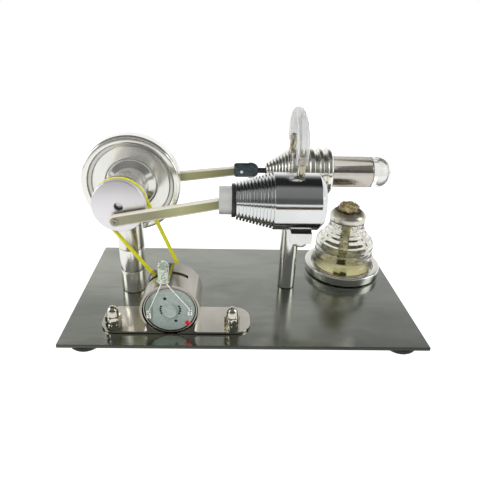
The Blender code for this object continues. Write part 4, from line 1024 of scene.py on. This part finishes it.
turned("burner_collar",
       [(34.4, 9.5), (34.4, 10.3), (34.8, 10.5), (37.0, 10.45), (38.0, 10.1), (39.0, 9.35), (39.9, 8.3),
        (40.6, 7.2), (41.0, 6.5), (40.8, 6.1), (39.6, 7.4), (38.4, 8.7), (37.0, 9.5)],
       "Z", LAMP, "collar", "lamp", "lamp_collar", ease=0.4)

# wick: three strands laid in a rope below, frayed into loose curled threads above the collar
rng = random.Random(7)
bm = bmesh.new()
for strand in range(3):
    path = []
    for k in range(60):
        s = k / 59
        turn = 2 * math.pi * (strand / 3 + 2.2 * s)
        swell = 1.45 + 1.3 * max(0.0, (s - 0.8) / 0.2) ** 1.5
        path.append(LAMP + Vector((swell * math.cos(turn), swell * math.sin(turn), 6.4 + 31.6 * s)))
    tube(bm, path, [1.55 + 1.0 * max(0.0, (k / 59 - 0.8) / 0.2) for k in range(60)], 14)
# the rope's lightened colour is painted light for the wick inside glass and fuel
finish_mesh("wick_rope", bm, "wet_cotton", "lamp", "lamp_wick", sharp=60)

bm = bmesh.new()
bmesh.ops.create_icosphere(bm, subdivisions=5, radius=1.0)
for v in bm.verts:
    lump = 1 + 0.28 * noise.noise(v.co * 1.9) + 0.16 * noise.noise(v.co * 5.3)
    v.co = Vector((v.co.x * 5.0, v.co.y * 5.0, v.co.z * 2.7)) * lump
    v.co += LAMP + Vector((0, 0, 40.9))
finish_mesh("wick_core", bm, "cotton", "lamp", None, sharp=80)

bm = bmesh.new()
for strand in range(230):
    turn = rng.uniform(0, 2 * math.pi)
    root = 5.2 * math.sqrt(rng.uniform(0.02, 1))
    curl = rng.uniform(-1.5, 1.5)
    lean = rng.uniform(0.2, 1.0)
    stray = rng.random() < 0.12
    tall = rng.uniform(1.2, 3.2) * (1.15 - root / 10)
    base_z = LAMP.z + 40.9 + 1.7 * math.sqrt(max(0.0, 1 - (root / 5.6) ** 2))
    path = []
    for k in range(9):
        s = k / 8
        a = turn + curl * s * s
        r = root + lean * (3.2 if stray else 1.7) * s * (1 - 0.2 * s)
        z = base_z + tall * math.sin(math.pi * (0.45 if stray else 0.7) * s) - 0.5
        r = min(r, 7.6)
        path.append((LAMP.x + r * math.cos(a), LAMP.y + r * math.sin(a), min(z, LAMP.z + 45.6)))
    wide = rng.uniform(0.22, 0.5)
    tube(bm, path, [wide * (1 - 0.5 * k / 8) for k in range(9)], 6)
finish_mesh("wick_threads", bm, "cotton", "lamp", None, sharp=80)

# ---------------- camera
PITCH, YAW, ROLL = 0.4259, 0.0218, 0.0229
ahead = Vector((math.sin(YAW) * math.cos(PITCH), math.cos(YAW) * math.cos(PITCH), -math.sin(PITCH)))
right = Vector((math.cos(YAW), -math.sin(YAW), 0))
up = right.cross(ahead)
right, up = (right * math.cos(ROLL) + up * math.sin(ROLL)), (up * math.cos(ROLL) - right * math.sin(ROLL))
camera_data = bpy.data.cameras.new("camera")
camera_data.sensor_width = 36.0
camera_data.lens = 33.50042
camera_data.shift_x = 0.0221715
camera_data.shift_y = -0.0359348
camera_data.clip_start = 0.01
camera = bpy.data.objects.new("camera", camera_data)
bpy.context.scene.collection.objects.link(camera)
frame_matrix = Matrix((right, up, -ahead)).transposed().to_4x4()
frame_matrix.translation = Vector((-0.01244, -0.2200, 0.1480))
camera.matrix_world = frame_matrix
bpy.context.scene.camera = camera

# ---------------- floor, flag, world and lights
bpy.context.scene.view_settings.view_transform = 'Standard'


def card(name, low, high, height, colour, glow=None):
    """A flat stage surface. With a glow, the camera sees it near white and other rays see the glow."""
    mesh = bpy.data.meshes.new(name)
    corners = [(low[0], low[1], height), (high[0], low[1], height), (high[0], high[1], height),
               (low[0], high[1], height)]
    mesh.from_pydata(corners, [], [(0, 1, 2, 3)])
    made = bpy.data.objects.new(name, mesh)
    bpy.context.scene.collection.objects.link(made)
    n = Nodes(name + "_surface")
    n.set(Base_Color=n.ramp(n.noise(6, detail=2), (0.3, [c * 0.99 for c in colour]), (0.7, colour)),
          Roughness=0.9, Specular_IOR_Level=0.0, Emission_Color=(1, 1, 1, 1))
    if glow is not None:
        rays = n.add("ShaderNodeLightPath")
        level = n.add("ShaderNodeMapRange")
        level.inputs["To Min"].default_value = glow
        level.inputs["To Max"].default_value = 1.15
        n.link(rays.outputs["Is Camera Ray"], level.inputs["Value"])
        n.set(Emission_Strength=level.outputs["Result"])
    mesh.materials.append(n.mat)
    return made


card("floor", (-60, -40), (60, 60), 0, (0.16, 0.16, 0.16), glow=0.80)
flag = card("front_flag", (-2, -3.0), (2, -0.36), 0.002, (0.07, 0.05, 0.035))
flag.visible_camera = False
flag.visible_diffuse = False
flag.visible_shadow = False
flag.visible_transmission = False

# the sky's grey runs from the front horizon (0) over the top (0.5) to the back horizon (1)
SKY = ((0.0, 0.12), (0.010, 1.0), (0.034, 1.0), (0.047, 0.08), (0.15, 0.10), (0.20, 0.18), (0.41, 0.22),
       (0.455, 0.08), (0.485, 0.02), (0.655, 0.02), (0.71, 0.10), (0.775, 0.36), (0.85, 0.88), (0.94, 1.0),
       (1.0, 1.0))
world = bpy.data.worlds.new("studio")
bpy.context.scene.world = world
world.use_nodes = True
sky = Tree(world.node_tree)
sky.tree.nodes.clear()
split = sky.add("ShaderNodeSeparateXYZ")
sky.link(sky.add("ShaderNodeTexCoord").outputs["Generated"], split.inputs[0])
turn = sky.calculate('ARCTAN2', split.outputs["Z"], sky.calculate('MULTIPLY', split.outputs["Y"], -1))
soft = sky.add("ShaderNodeBackground")
sky.link(sky.ramp(sky.calculate('DIVIDE', turn, math.pi), *SKY), soft.inputs["Color"])
white = sky.add("ShaderNodeBackground")
white.inputs["Color"].default_value = (1, 1, 1, 1)
pick = sky.add("ShaderNodeMixShader")
sky.link(sky.add("ShaderNodeLightPath").outputs["Is Camera Ray"], pick.inputs["Fac"])
sky.link(soft.outputs[0], pick.inputs[1])
sky.link(white.outputs[0], pick.inputs[2])
sky.link(pick.outputs[0], sky.add("ShaderNodeOutputWorld").inputs["Surface"])


def softbox(name, place, target, size, power, shiny=True):
    data = bpy.data.lights.new(name, 'AREA')
    data.shape = 'RECTANGLE'
    data.size, data.size_y = size
    data.energy = power
    made = bpy.data.objects.new(name, data)
    bpy.context.scene.collection.objects.link(made)
    made.location = place
    made.rotation_euler = (Vector(target) - Vector(place)).to_track_quat('-Z', 'Y').to_euler()
    made.visible_glossy = shiny
    made.visible_camera = False


softbox("key", (-0.25, -0.55, 0.75), (0, 0, 0.04), (0.8, 0.6), 5.0, shiny=False)
softbox("top", (0.15, 0.15, 1.0), (0, 0, 0.03), (1.0, 1.0), 3.2, shiny=False)
softbox("left", (-0.9, -0.1, 0.35), (0, 0, 0.05), (0.5, 0.5), 2.0)
softbox("right", (0.9, -0.15, 0.40), (0, 0, 0.05), (0.5, 0.6), 2.0)

# ---------------- sizes, and the end
low, high = CAD_BOX
